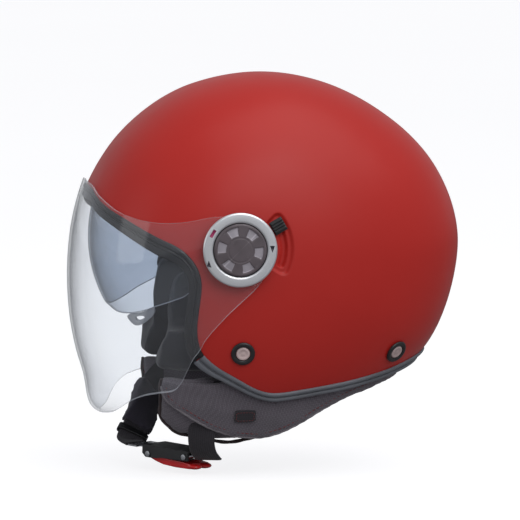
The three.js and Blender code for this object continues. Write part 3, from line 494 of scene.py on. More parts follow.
# ------------------------------------------------------------------ solids: (verts, faces)
def outward(verts, faces):
    """Flips the faces of a closed body if its signed volume is negative."""
    verts = np.asarray(verts)
    volume = 0.0
    by_size = {}
    for face in faces:
        by_size.setdefault(len(face), []).append(face)
    for size, group in by_size.items():
        a = np.array(group)
        for i in range(1, size - 1):
            cross = np.cross(verts[a[:, i]], verts[a[:, i + 1]])
            volume += np.einsum("ij,ij->", verts[a[:, 0]], cross)
    return faces if volume > 0 else [list(face)[::-1] for face in faces]


def join(parts):
    verts, faces, base = [], [], 0
    for v, f in parts:
        verts.append(np.asarray(v, float))
        faces += [[int(i) + base for i in face] for face in f]
        base += len(v)
    return np.vstack(verts), faces


def mirrored(verts, faces):
    return np.array(verts, float) * np.array([-1.0, 1, 1]), [list(f)[::-1] for f in faces]


def sweep(rings, closed=False):
    """Skin over rings of equal length; open ends are capped with fans to the ring's mean."""
    rings = np.asarray(rings, float)
    n, m = rings.shape[:2]
    v = rings.reshape(-1, 3)
    faces = []
    for i in range(n if closed else n - 1):
        a, b = i * m, ((i + 1) % n) * m
        for j in range(m):
            k = (j + 1) % m
            faces.append([a + j, a + k, b + k, b + j])
    if not closed:
        first, last, base = len(v), len(v) + 1, (n - 1) * m
        v = np.vstack([v, rings[0].mean(0), rings[-1].mean(0)])
        for j in range(m):
            k = (j + 1) % m
            faces.append([k, j, first])
            faces.append([base + j, base + k, last])
    return v, outward(v, faces)


def lathe(profile, count, axis="x"):
    """Solid of revolution; profile rows are (radius, height), closing on themselves or on
    the axis."""
    profile = np.array(profile, float)
    angles = np.linspace(0, 2 * math.pi, count, endpoint=False)
    v, idx = [], []
    for r, h in profile:
        if r < 1e-6:
            idx.append([len(v)] * count)
            v.append([0, 0, h])
        else:
            idx.append(list(range(len(v), len(v) + count)))
            v += [[r * math.cos(a), r * math.sin(a), h] for a in angles]
    faces, m = [], len(profile)
    on_axis = profile[0][0] < 1e-6 and profile[-1][0] < 1e-6
    for i in range(m - 1 if on_axis else m):
        a, b = idx[i], idx[(i + 1) % m]
        for j in range(count):
            k = (j + 1) % count
            face = list(dict.fromkeys([a[j], a[k], b[k], b[j]]))
            if len(face) > 2:
                faces.append(face)
    v = np.array(v, float)
    if axis == "x":
        v = v[:, [2, 0, 1]]
    return v, outward(v, faces)


def block(centre, axes, half):
    """Box with three unit axes and half sizes along them."""
    signs = [[-1, -1, -1], [1, -1, -1], [1, 1, -1], [-1, 1, -1],
             [-1, -1, 1], [1, -1, 1], [1, 1, 1], [-1, 1, 1]]
    v = np.array([centre + sum(s * h * a for s, h, a in zip(q, half, np.asarray(axes)))
                  for q in signs], float)
    f = [[0, 1, 2, 3], [7, 6, 5, 4], [0, 4, 5, 1], [1, 5, 6, 2], [2, 6, 7, 3], [3, 7, 4, 0]]
    return v, outward(v, f)


def prism(outline, x0, x1):
    """Side-view outline extruded along x."""
    p = np.asarray(outline, float)
    n = len(p)
    v = np.array([[x, y, z] for x in (x0, x1) for y, z in p])
    f = [list(range(n)), list(range(2 * n - 1, n - 1, -1))]
    f += [[i, (i + 1) % n, (i + 1) % n + n, i + n] for i in range(n)]
    return v, outward(v, f)


def tube(path, radius, sides, twist=None):
    """Round cord through a dense path; twist(i, angles) varies the radius of ring i."""
    p = np.asarray(path, float)
    tangents = unit_rows(np.gradient(p, axis=0))
    upright = abs(tangents[0][2]) < 0.9
    ref = np.array([0.0, 0.0, 1.0]) if upright else np.array([1.0, 0, 0])
    u = np.cross(tangents[0], ref)
    angles = np.linspace(0, 2 * math.pi, sides, endpoint=False)
    rings = []
    for i, tangent in enumerate(tangents):
        u = unit(u - u.dot(tangent) * tangent)
        w = np.cross(tangent, u)
        radii = radius * (1 + (twist(i, angles) if twist else np.zeros(sides)))
        rings.append([p[i] + (u * math.cos(a) + w * math.sin(a)) * r
                      for a, r in zip(angles, radii)])
    return sweep(rings)


def patch(egg, outline, outer, inner, side, step, holes=()):
    """Thick piece on an egg's flank inside a side-view outline, between two offsets, meshed
    about step mm apart."""
    loops = [np.asarray(outline, float)] + [np.asarray(h, float) for h in holes]
    pts, edges = [], []
    for loop in loops:
        q = np.vstack([loop, loop[:1]])
        n = max(12, int(np.linalg.norm(np.diff(q, axis=0), axis=1).sum() / (step * 0.6)))
        q = resample(q, n + 1)[:-1]
        base = len(pts)
        pts += q.tolist()
        edges += [(base + i, base + (i + 1) % len(q)) for i in range(len(q))]

    def inside(y, z):
        ok = in_poly(y, z, loops[0])
        for hole in loops[1:]:
            ok &= ~in_poly(y, z, hole)
        return ok

    low, high = loops[0].min(0), loops[0].max(0)
    gy, gz = np.meshgrid(np.arange(low[0], high[0], step), np.arange(low[1], high[1], step))
    # a small shift keeps grid points off the outline's own coordinates
    gy, gz = gy.ravel() + 0.013, gz.ravel() + 0.017
    border = np.array(pts)
    grid = np.column_stack([gy, gz])[inside(gy, gz)]
    pts += [q.tolist() for q in grid if ((border - q) ** 2).sum(1).min() > (step * 0.45) ** 2]
    flat, _, triangles, _, _, _ = delaunay_2d_cdt([Vector(p) for p in pts], edges, [], 0, 1e-6)
    flat = np.array([[q.x, q.y] for q in flat])
    triangles = np.array([list(t) for t in triangles])
    centres = flat[triangles].mean(1)
    triangles = triangles[inside(centres[:, 0], centres[:, 1])]
    theta, angle = egg.from_side(flat[:, 0], flat[:, 1])
    v = np.vstack([egg.point(theta, angle, offset) for offset in (outer, inner)])
    v[:, 0] *= side
    n = len(flat)
    faces = triangles.tolist() + (triangles[:, ::-1] + n).tolist()
    faces += [[b, a, a + n, b + n] for a, b in border_edges(triangles)]
    return v, outward(v, faces)


# ------------------------------------------------------------------ objects
def to_row(points):
    return (points + AXIS) / 1000.0


def make_object(name, shape, materials, flags=None, uv=None, up=0.0):
    """Object from a shape in mm about the egg axis, or about a line up mm above it."""
    verts, faces = shape
    v = to_row(np.asarray(verts, float) + np.array([0, 0, up]))
    me = bpy.data.meshes.new(name)
    if isinstance(faces, np.ndarray):
        count, size = faces.shape
        me.vertices.add(len(v))
        me.vertices.foreach_set("co", v.astype(np.float32).ravel())
        me.loops.add(count * size)
        me.loops.foreach_set("vertex_index", faces.astype(np.int32).ravel())
        me.polygons.add(count)
        starts = np.arange(0, count * size, size, dtype=np.int32)
        me.polygons.foreach_set("loop_start", starts)
        me.update(calc_edges=True)
    else:
        me.from_pydata(v.tolist(), [], [list(map(int, face)) for face in faces])
    ob = bpy.data.objects.new(name, me)
    bpy.context.scene.collection.objects.link(ob)
    for material in materials if isinstance(materials, list) else [materials]:
        me.materials.append(material)
    if flags is not None:
        me.polygons.foreach_set("material_index", np.asarray(flags, np.int32))
    shade_smooth(ob)
    if uv is not None:
        layer = me.uv_layers.new(name="UVMap")
        loops = np.zeros(len(me.loops), np.int32)
        me.loops.foreach_get("vertex_index", loops)
        layer.data.foreach_set("uv", np.asarray(uv, np.float32)[loops].reshape(-1))
    me.update()
    return ob


def shade_smooth(ob):
    polygons = ob.data.polygons
    polygons.foreach_set("use_smooth", np.ones(len(polygons), bool))


def register(ob, replaces=(), body="root"):
    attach(ob, body)
    if replaces:
        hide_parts(*replaces)
    return ob


def piece(name, shape, materials, slot, replaces=(), body="root", **options):
    ob = make_object(name, shape, materials, **options)
    return register(ob, replaces, body)


def bevel(ob, width, segments=2, angle=35):
    m = ob.modifiers.new("edge", "BEVEL")
    m.width = width / 1000.0
    m.segments = segments
    m.limit_method = "ANGLE"
    m.angle_limit = math.radians(angle)


def add_remesh(ob, voxel):
    m = ob.modifiers.new("remesh", "REMESH")
    m.mode = "VOXEL"
    m.voxel_size = voxel / 1000.0
    return m


def add_smooth(ob, iterations):
    m = ob.modifiers.new("smooth", "SMOOTH")
    m.factor = 0.5
    m.iterations = iterations


def apply_modifiers(ob):
    graph = bpy.context.evaluated_depsgraph_get()
    me = bpy.data.meshes.new_from_object(ob.evaluated_get(graph))
    ob.modifiers.clear()
    old = ob.data
    ob.data = me
    bpy.data.meshes.remove(old)


def coords(ob):
    """Vertices in mm about the egg axis."""
    co = np.zeros(len(ob.data.vertices) * 3, np.float32)
    ob.data.vertices.foreach_get("co", co)
    return co.reshape(-1, 3).astype(float) * 1000 - AXIS


def set_coords(ob, points):
    ob.data.vertices.foreach_set("co", to_row(np.asarray(points)).astype(np.float32).ravel())
    ob.data.update()


def moulded(name, solids, voxel, materials, replaces, body):
    """One moulded body: overlapping solids joined by a fine remesh, then eased."""
    ob = make_object(name, join(solids), materials)
    add_remesh(ob, voxel).use_smooth_shade = True
    add_smooth(ob, 3)
    apply_modifiers(ob)
    shade_smooth(ob)
    return register(ob, replaces, body)


# ------------------------------------------------------------------ material builder
def srgb(color):
    """Linear RGBA of an 8-bit sRGB colour."""
    return tuple(v / 255 / 12.92 if v / 255 <= 0.04045 else ((v / 255 + 0.055) / 1.055) ** 2.4
                 for v in color) + (1.0,)


def shade(color, factor, lift=0.0):
    """Linear colour brightened or darkened by factor, then lifted."""
    return tuple(min(1, v * factor + lift) for v in color[:3]) + (1,)


class Surface:
    """A procedural material. Textures use the row frame in metres unless given a vector."""

    def __init__(self, name, principled=True, **inputs):
        self.material = bpy.data.materials.new(name)
        self.material.use_nodes = True
        self.tree = self.material.node_tree
        self.tree.nodes.clear()
        self.output = self.tree.nodes.new("ShaderNodeOutputMaterial")
        self.coord = self.tree.nodes.new("ShaderNodeTexCoord")
        if principled:
            self.shader = self.tree.nodes.new("ShaderNodeBsdfPrincipled")
            self.finish(self.shader.outputs[0])
            self.set(**inputs)

    def feed(self, socket, value):
        if isinstance(value, bpy.types.NodeSocket):
            self.tree.links.new(value, socket)
        else:
            socket.default_value = value

    def node(self, kind, inputs=None, out=0, **properties):
        """New node; inputs maps socket to value or link, out picks the output returned."""
        node = self.tree.nodes.new(kind)
        for key, value in properties.items():
            setattr(node, key, value)
        for key, value in (inputs or {}).items():
            self.feed(node.inputs[key], value)
        return node.outputs[out]

    def finish(self, shader):
        self.tree.links.new(shader, self.output.inputs[0])

    def set(self, **inputs):
        for key, value in inputs.items():
            self.feed(self.shader.inputs[key.replace("_", " ")], value)

    def mapping(self, scale, rotation=(0, 0, 0)):
        return self.node("ShaderNodeMapping", {
            "Vector": self.coord.outputs["Object"], "Scale": scale, "Rotation": rotation})

    def noise(self, scale, detail, rough=0.5, vector=None, out="Fac"):
        return self.node("ShaderNodeTexNoise", {
            "Scale": scale, "Detail": detail, "Roughness": rough,
            "Vector": vector or self.coord.outputs["Object"]}, out)

    def voronoi(self, scale, feature):
        return self.node("ShaderNodeTexVoronoi", {
            "Scale": scale, "Vector": self.coord.outputs["Object"]}, "Distance", feature=feature)

    def separate(self, vector):
        return self.node("ShaderNodeSeparateXYZ", {0: vector}).node.outputs

    def math(self, operation, a, b=0.0, clamp=False):
        return self.node("ShaderNodeMath", {0: a, 1: b}, operation=operation, use_clamp=clamp)

    def ramp(self, value, stops):
        """Colour ramp through (position, RGBA) stops."""
        out = self.node("ShaderNodeValToRGB", {0: value})
        elements = out.node.color_ramp.elements
        while len(elements) < len(stops):
            elements.new(0.5)
        for element, (position, color) in zip(elements, stops):
            element.position = position
            element.color = color
        return out

    def mix(self, amount, a, b):
        return self.node("ShaderNodeMix", {0: amount, 6: a, 7: b}, 2, data_type="RGBA")

    def remap(self, value, to, source=(0.0, 1.0)):
        return self.node("ShaderNodeMapRange", {
            0: value, 1: source[0], 2: source[1], 3: to[0], 4: to[1]})

    def bump(self, height, strength, distance):
        self.set(Normal=self.node("ShaderNodeBump", {
            "Strength": strength, "Distance": distance, "Height": height}))

    def edge_wear(self, amount, source=(0.52, 0.62)):
        """amount on convex edges, from the pointiness of the mesh."""
        pointiness = self.node("ShaderNodeNewGeometry", out="Pointiness")
        return self.math("MULTIPLY", self.remap(pointiness, (0, 1), source), amount, clamp=True)


# ------------------------------------------------------------------ material recipes
def plastic(name, color, rough, grain, bump, wear=0.35, spread=0.18, coat=0.0):
    """Grained plastic: grain is the texture scale, wear the rubbed edges, spread the mottle."""
    s = Surface(name, Roughness=rough)
    c = srgb(color)
    base = s.ramp(s.noise(scale=70, detail=4),
                  [(0.3, shade(c, 1 - spread)), (0.7, shade(c, 1 + spread, 0.004))])
    base = s.mix(s.edge_wear(wear), base, shade(c, 1.5, 0.05))
    s.set(Base_Color=base, Coat_Weight=coat,
          Roughness=s.remap(s.noise(scale=240, detail=5), (rough - 0.07, rough + 0.09)))
    fine = s.math("MULTIPLY", s.noise(scale=grain * 0.5, detail=4), 0.6)
    s.bump(s.math("ADD", s.voronoi(grain, "SMOOTH_F1"), fine), strength=bump, distance=0.00015)
    return s.material


def metal(name, color, rough, brush, bump):
    """Brushed metal; brush is the streak scale along x, y and z."""
    s = Surface(name, Roughness=rough, Metallic=1.0)
    c = srgb(color)
    streak = s.noise(scale=2.2, detail=6, rough=0.6, vector=s.mapping(brush))
    s.set(Base_Color=s.ramp(streak, [(0.3, shade(c, 0.82)), (0.7, c)]),
          Roughness=s.remap(streak, (rough - 0.08, rough + 0.12)))
    s.bump(s.math("ADD", streak, s.noise(scale=3000, detail=2)), strength=bump, distance=0.0001)
    return s.material


def rubber(name, color, rough, bump):
    """Mottled rubber with pale dust."""
    s = Surface(name, Roughness=rough)
    c = srgb(color)
    base = s.ramp(s.noise(scale=45, detail=5), [(0.25, shade(c, 0.8)), (0.75, shade(c, 1.15))])
    dust = s.remap(s.noise(scale=900, detail=6, rough=0.7), (0, 0.16), (0.55, 0.8))
    s.set(Base_Color=s.mix(dust, base, srgb((168, 168, 172))),
          Roughness=s.remap(s.noise(scale=160, detail=5), (rough - 0.08, rough + 0.14)))
    grain = s.math("ADD", s.noise(scale=2400, detail=4), s.noise(scale=500, detail=3))
    s.bump(grain, strength=bump, distance=0.00018)
    return s.material


def weave(name, color, thread, contrast, fuzz, rough, bump):
    """Cloth without UVs: a three-way product of waves thread metres long, plus fibre noise."""
    s = Surface(name, Roughness=rough, Sheen_Weight=0.25, Sheen_Roughness=0.5)
    c = srgb(color)
    vector = s.mapping((2 * math.pi / thread,) * 3, rotation=(0.6, 0.35, 0.2))
    warp = s.node("ShaderNodeVectorMath", {
        0: s.noise(scale=320, detail=3, out="Color"), "Scale": 0.7}, operation="SCALE")
    vector = s.node("ShaderNodeVectorMath", {0: vector, 1: warp}, operation="ADD")
    a, b, d = (s.math("SINE", axis) for axis in s.separate(vector))
    two = s.math("ADD", s.math("MULTIPLY", a, b), s.math("MULTIPLY", b, d))
    height = s.math("ADD", two, s.math("MULTIPLY", d, a))
    height = s.remap(height, (0, 1), (-1.2, 1.6))
    fibre = s.noise(scale=4200, detail=4, rough=0.7)
    base = s.ramp(height, [(0.0, shade(c, 1 - contrast)),
                           (0.75, shade(c, 1 + contrast * 0.55))])
    base = s.mix(s.math("MULTIPLY", fibre, fuzz), base, shade(c, 1.5, 0.01))
    worn = s.remap(s.noise(scale=26, detail=5, rough=0.6), (0, 0.35), (0.45, 0.75))
    s.set(Base_Color=s.mix(worn, base, shade(c, 1.35)),
          Roughness=s.remap(fibre, (rough - 0.08, min(1.0, rough + 0.1))))
    s.bump(s.math("ADD", height, s.math("MULTIPLY", fibre, 0.35)),
           strength=bump, distance=0.00035)
    return s.material


def webbing(name, color, rough=0.8):
    """Ribbed strap webbing; u runs along it and v across, both in mm."""
    rib_pitch, pick_pitch = 1.6, 1.3
    s = Surface(name, Roughness=rough, Sheen_Weight=0.2)
    c = srgb(color)
    u, v, _ = s.separate(s.coord.outputs["UV"])
    rib = s.math("SINE", s.math("MULTIPLY", v, 2 * math.pi / rib_pitch))
    sway = s.math("SINE", s.math("MULTIPLY", v, math.pi / rib_pitch))
    cross = s.math("SINE", s.math("ADD", s.math("MULTIPLY", u, 2 * math.pi / pick_pitch),
                                  s.math("MULTIPLY", sway, 1.5)))
    height = s.remap(s.math("ADD", rib, s.math("MULTIPLY", cross, 0.8)), (0, 1), (-1.8, 1.8))
    fibre = s.noise(scale=3800, detail=4, rough=0.7)
    base = s.ramp(height, [(0.0, shade(c, 0.45)), (0.8, shade(c, 1.35))])
    base = s.mix(s.math("MULTIPLY", fibre, 0.3), base, shade(c, 1.7, 0.01))
    s.set(Base_Color=base, Roughness=s.remap(fibre, (rough - 0.1, rough + 0.1)))
    s.bump(s.math("ADD", height, s.math("MULTIPLY", fibre, 0.3)), strength=0.6, distance=0.0004)
    return s.material


def clear(name, tint, haze, haze_amount, rough=0.02):
    """Thin clear sheet: a tinted see-through layer, a little haze and a Fresnel gloss."""
    s = Surface(name, principled=False)
    c = srgb(tint)
    color = s.ramp(s.noise(scale=9, detail=3), [(0.2, c), (0.8, shade(c, 1.012))])
    through = s.node("ShaderNodeBsdfTransparent", {0: color})
    dull = s.node("ShaderNodeBsdfDiffuse", {0: srgb(haze)})
    ripple = s.node("ShaderNodeBump", {
        "Strength": 0.03, "Distance": 0.0006, "Height": s.noise(scale=28, detail=3)})
    gloss = s.node("ShaderNodeBsdfGlossy", {
        0: (1, 1, 1, 1), "Normal": ripple,
        "Roughness": s.remap(s.noise(scale=60, detail=5), (rough, rough + 0.05))})
    facing = s.node("ShaderNodeLayerWeight", {0: 0.5}, "Facing")
    rim = s.math("MULTIPLY", s.math("POWER", facing, 4.5), 0.6)
    fresnel = s.math("ADD", 0.03, rim, clamp=True)
    scratches = s.noise(scale=2.0, detail=2, rough=0.5,
                        vector=s.mapping((9, 9, 60), rotation=(0.2, 0.1, 0.3)))
    scratches = s.remap(scratches, (haze_amount * 0.34, haze_amount * 0.46), (0.3, 0.7))
    edge_haze = s.math("MULTIPLY", s.math("POWER", facing, 2.2), haze_amount)
    hazy = s.node("ShaderNodeMixShader", {
        0: s.math("ADD", edge_haze, scratches), 1: through, 2: dull})
    s.finish(s.node("ShaderNodeMixShader", {0: fresnel, 1: hazy, 2: gloss}))
    return s.material


def clear_edge(name, color, alpha):
    """Cut edge of a clear sheet: it gathers light, so it reads as a pale line."""
    s = Surface(name, Roughness=0.25)
    c = srgb(color)
    s.set(Base_Color=s.ramp(s.noise(scale=120, detail=4), [(0.3, c), (0.7, shade(c, 1.12))]),
          Roughness=s.remap(s.noise(scale=500, detail=4), (0.16, 0.34)), Alpha=alpha)
    s.bump(s.noise(scale=900, detail=3), strength=0.1, distance=0.0002)
    return s.material


def red_paint():
    """Satin red paint with flecks, pale edges and long scuffs."""
    s = Surface("red_shell", Roughness=0.4, Coat_Weight=0.04, Coat_Roughness=0.34,
                Specular_IOR_Level=0.26)
    base = s.ramp(s.noise(scale=7, detail=3),
                  [(0.3, (0.47, 0.021, 0.016, 1)), (0.7, (0.51, 0.025, 0.019, 1))])
    flecks = s.remap(s.noise(scale=5200, detail=2), (0, 0.08), (0.5, 0.8))
    base = s.mix(flecks, base, srgb((192, 52, 44)))
    base = s.mix(s.edge_wear(0.35, source=(0.56, 0.7)), base, srgb((188, 66, 58)))
    scuffs = s.noise(scale=2.0, detail=8, rough=0.75,
                     vector=s.mapping((900, 60, 60), rotation=(0.3, 0.2, 0.4)))
    scuffs = s.remap(scuffs, (0, 0.12), (0.66, 0.8))
    slow = s.remap(s.noise(scale=55, detail=6), (0.36, 0.46))
    s.set(Base_Color=base, Roughness=s.math("ADD", slow, scuffs))
    fine = s.math("MULTIPLY", s.noise(scale=4200, detail=2), 0.5)
    s.bump(s.math("ADD", s.noise(scale=1500, detail=3), fine), strength=0.055, distance=0.0002)
    return s.material


def bead_foam():
    """Moulded bead foam, darker between the beads."""
    beads = 340
    s = Surface("foam", Roughness=0.85)
    base = s.ramp(s.voronoi(beads, "DISTANCE_TO_EDGE"), [
        (0.0, srgb((22, 22, 24))), (0.06, srgb((40, 40, 43))), (0.4, srgb((56, 56, 60)))])
    s.set(Base_Color=base, Roughness=s.remap(s.noise(scale=700, detail=4), (0.75, 0.95)))
    s.bump(s.math("SUBTRACT", 1.0, s.voronoi(beads, "F1")), strength=0.5, distance=0.0006)
    return s.material


MAT = {
    "red": red_paint(),
    "shell_inner": plastic("shell_inner_face", (60, 58, 60), rough=0.7, grain=900, bump=0.3),
    "seal": rubber("seal_rubber", (27, 27, 30), rough=0.32, bump=0.1),
    "trim": rubber("trim_rubber", (104, 107, 114), rough=0.45, bump=0.12),
    "visor": clear("clear_visor", tint=(252, 253, 255), haze=(220, 223, 232),
                   haze_amount=0.045),
    "visor_edge": clear_edge("clear_visor_edge", (214, 218, 226), alpha=0.42),
    "lens": clear("sun_lens", tint=(234, 238, 243), haze=(190, 196, 204), haze_amount=0.10),
    "lens_edge": clear_edge("sun_lens_edge", (202, 206, 216), alpha=0.7),
    "ring": metal("satin_metal", (236, 238, 242), rough=0.36, brush=(30, 1100, 1100),
                  bump=0.05),
    "cap": plastic("dial_plastic", (90, 81, 86), rough=0.42, grain=1500, bump=0.12, wear=0.5),
    # pale plastic for the dial pockets: a painted highlight standing in for the light the shiny
    # pocket hollows catch from above
    "cap_pocket_highlight": plastic("dial_pocket", (158, 152, 160), rough=0.35, grain=1500, bump=0.1,
                          wear=0.6),
    "black": plastic("black_plastic", (30, 30, 32), rough=0.36, grain=1400, bump=0.12,
                     wear=0.4),
    "mark": plastic("dial_mark", (36, 34, 46), rough=0.5, grain=1500, bump=0.05, wear=0.0),
    "mark_red": plastic("dial_mark_red", (150, 34, 84), rough=0.5, grain=1500, bump=0.05,
                        wear=0.0),
    "snap": plastic("snap_centre", (198, 176, 174), rough=0.38, grain=1300, bump=0.1,
                    wear=0.5),
    "liner": weave("liner_fabric", (32, 32, 38), thread=0.0014, contrast=0.22, fuzz=0.12,
                   rough=0.92, bump=0.2),
    "pad": weave("pad_fabric", (36, 36, 43), thread=0.0016, contrast=0.2, fuzz=0.12,
                 rough=0.92, bump=0.2),
    "roll": weave("roll_fabric", (104, 98, 106), thread=0.0017, contrast=0.4, fuzz=0.32,
                  rough=0.9, bump=0.6),
    "cord": weave("roll_seam_cord", (120, 114, 120), thread=0.0007, contrast=0.3, fuzz=0.3,
                  rough=0.8, bump=0.4),
    "piping": weave("piping", (46, 28, 30), thread=0.0008, contrast=0.4, fuzz=0.3,
                    rough=0.7, bump=0.5),
    "thread": weave("stitching", (122, 40, 40), thread=0.0005, contrast=0.35, fuzz=0.3,
                    rough=0.6, bump=0.4),
    "strap": webbing("strap_webbing", (42, 38, 44)),
    "strap_pad": weave("strap_pad_fabric", (54, 50, 62), thread=0.0009, contrast=0.35,
                       fuzz=0.35, rough=0.85, bump=0.4),
    "steel": metal("steel", (196, 198, 202), rough=0.26, brush=(200, 200, 200), bump=0.06),
    "lever": plastic("lever_red", (222, 34, 36), rough=0.3, grain=1200, bump=0.06,
                     spread=0.1, coat=0.35),
    "lever_inset": rubber("lever_inset", (78, 76, 80), rough=0.55, bump=0.2),
    "foam": bead_foam(),
}

# ------------------------------------------------------------------ shell
# Crescent recess on the left flank, behind the pivot, with a slot in its floor:
# radii from the pivot and end angles
RECESS_RADII, RECESS_ANGLES = (25.0, 40.5), (136.0, 212.0)
SLOT_RADII, SLOT_ANGLES = (31.2, 35.8), (143.5, 204.5)
RECESS_DEPTH, SLOT_DEPTH = 1.7, 2.1   # the slot's depth is below the recess floor


def sector_distance(radius, angle, radii, angles, corner):
    """Distance of polar points from a ring sector with rounded corners, negative inside."""
    def along(end):
        return (angle - end) * math.pi / 180 * radius
    out = np.maximum(np.maximum(radii[0] + corner - radius, radius - (radii[1] - corner)), 0)
    past = np.maximum(np.maximum(-along(angles[0]) + corner, along(angles[1]) + corner), 0)
    return np.hypot(out, past) - corner


def recess_depth(p):
    radius = np.hypot(p[:, 1], p[:, 2] - PIVOT_UP)
    angle = np.degrees(np.arctan2(p[:, 2] - PIVOT_UP, -p[:, 1])) % 360
    d = sector_distance(radius, angle, RECESS_RADII, RECESS_ANGLES, corner=5.0)
    recess = RECESS_DEPTH * (1 - smoothstep(d, -1.9, 0.5))
    d = sector_distance(radius, angle, SLOT_RADII, SLOT_ANGLES, corner=2.0)
    slot = SLOT_DEPTH * (1 - smoothstep(d, -0.9, 0.4))
    return np.where(p[:, 0] > 60, recess + slot, 0.0)


def shell_row_step(radius):
    """Row spacing: finest where the recess is."""
    if radius < 19:
        return 1.6
    if radius < 53:
        return 0.75
    return 1.4 if radius < 70 else 2.3


def build_shell():
    cut = opening(shifted(open_line, -2.4))
    rows = theta_rows(radius=128, half_width=SHELL_HALF_WIDTH, start=7.0, step=shell_row_step)
    sheet = Sheet(shell_egg, lambda y, z: ~in_poly(y, z, cut), start=90.0, seam=-22.0,
                  thetas=rows, columns=SHELL_COLUMNS)
    outer = sheet.verts()
    outer = outer - vertex_normals(outer, sheet.faces) * recess_depth(outer)[:, None]
    v, f, _ = thick(outer, sheet.verts(-SHELL_THICKNESS), sheet.faces, rim=1, swell=0.0)
    # faces inside the middle of the wall, apart from the recess, take the inner material
    centre = v[f].mean(1)
    angle = np.degrees(np.arctan2(centre[:, 2], -centre[:, 1]))
    middle = shell_egg.radius(angle) - SHELL_THICKNESS / 2
    reach = ((np.abs(centre[:, 0]) / (SHELL_HALF_WIDTH - SHELL_THICKNESS / 2)) ** SECTION_POWER
             + (np.hypot(centre[:, 1], centre[:, 2]) / middle) ** SECTION_POWER)
    flags = ((reach < 1) & (recess_depth(centre) < 0.2)).astype(int)
    piece("shell_surface", (v, f), [MAT["red"], MAT["shell_inner"]], "red_shell",
          ["outer_shell"], flags=flags)


# ------------------------------------------------------------------ edge rubber
def on_shell(line, count=5000):
    """(theta, angle) rows of the part of a side-view line that lies on the shell, from its
    front crossing of the centre plane to its back one."""
    index = np.arange(len(line), dtype=float)

    def at(w):
        return np.stack([np.interp(w, index, line[:, k]) for k in range(2)], -1)

    def reach(p):
        angle = np.degrees(np.arctan2(p[..., 1], -p[..., 0]))
        return np.hypot(p[..., 0], p[..., 1]) / shell_egg.radius(angle)

    reaches = reach(line)
    middle = int(np.argmin(reaches))

    def crossing(indices):
        inside = middle
        for i in indices:
            if reaches[i] >= 1:
                break
            inside = i
        a, b = float(inside), float(i)
        for _ in range(40):
            m = (a + b) / 2
            if reach(at(m)) < 1:
                a = m
            else:
                b = m
        return a

    start = crossing(range(middle, -1, -1))
    end = crossing(range(middle, len(line)))
    t = np.linspace(0, 1, count)
    crowding = 2.4   # packs points toward both ends
    w = t**crowding / (t**crowding + (1 - t) ** crowding)
    p = at(start + (end - start) * w)
    theta, angle = shell_egg.from_side(p[:, 0], p[:, 1])
    theta[0] = theta[-1] = math.pi / 2
    return np.column_stack([theta, np.unwrap(np.radians(angle)) * 180 / math.pi])


def pair_lines(a, b, count):
    """Matched rows on two lines across a band: even steps along a, nearest points on b."""
    points_b = shell_egg.point(b[:, 0], b[:, 1])
    along_a, along_b = travel(shell_egg.point(a[:, 0], a[:, 1])), travel(points_b)
    rows_a = interp_rows(np.linspace(0, along_a[-1], count), along_a, a)
    near = np.array([along_b[np.argmin(((points_b - q) ** 2).sum(1))]
                     for q in shell_egg.point(rows_a[:, 0], rows_a[:, 1])])
    near = np.maximum.accumulate(near)
    near[0], near[-1] = 0, along_b[-1]
    half = 11   # half-width of the smoothing window, in rows
    window = np.hanning(2 * half + 1)
    window /= window.sum()
    padded = np.concatenate([2 * near[0] - near[half:0:-1], near,
                             2 * near[-1] - near[-2:-half - 2:-1]])
    near = np.convolve(padded, window, "valid")
    near[0], near[-1] = 0, along_b[-1]
    return rows_a, interp_rows(near, along_b, b)


def rounded_section(points, radius):
    """Rounds a closed trim section. Rows are (a, h): a runs 0..1 across the band from the
    lip line to the opening line, h is mm above the shell."""
    band_width = 11.0   # makes both axes read as mm while the corners are cut
    p = np.array(points, float)
    p[:, 0] *= band_width
    out = []
    for i in range(len(p)):
        out += round_corner(p[i - 1], p[i], p[(i + 1) % len(p)], radius, 0.48, 3)
    out = np.array(out)
    out[:, 0] /= band_width
    return out


def bead(start, end, height, count, low):
    return [[start + (end - start) * (1 - math.cos(x)) / 2,
             low + (height - low) * math.sin(x) ** 0.8]
            for x in np.linspace(0, math.pi, count)]


def wrap(start):
    """The part of the section that turns round the shell's edge and back under it."""
    return [[1.0, -1.2], [1.0, -4.2], [0.95, -5.4], [0.3, -5.5], [0.26, -4.3],
            [start, -4.3], [start, 0.08]]


FACE_SECTION = rounded_section(
    [[0.0, 0.1]] + bead(0.0, 0.36, 1.75, 9, 0.5) + bead(0.40, 0.56, 1.0, 5, 0.45)
    + [[0.62, 0.55], [0.9, 0.6], [0.985, 0.1]] + wrap(0.76), radius=0.25)
BASE_SECTION = rounded_section(
    [[0.0, 0.1]] + bead(0.0, 0.42, 1.7, 9, 0.35) + [[0.47, 0.12], [0.53, 0.12]]
    + bead(0.58, 1.0, 1.6, 9, 0.25) + wrap(0.72), radius=0.2)
TRIM_TURN_Z = -71.2   # where the face opening's edge turns into the lower edge


def trim_body(lip, edge, section, at_front):
    """Section swept along the left flank and its mirror, one body over the centre plane."""
    across = (edge - lip)[:, None]
    theta = lip[:, None, 0] + across[..., 0] * section[None, :, 0]
    angle = lip[:, None, 1] + across[..., 1] * section[None, :, 0]
    p = shell_egg.point(theta, angle)
    normal = shell_egg.point(theta, angle, 1.0) - p
    left = p + normal * section[None, :, 1][..., None]
    right = left * np.array([-1.0, 1, 1])
    if at_front:
        return sweep(np.concatenate([left[::-1], right[1:]]))
    return sweep(np.concatenate([left, right[::-1][1:]]))


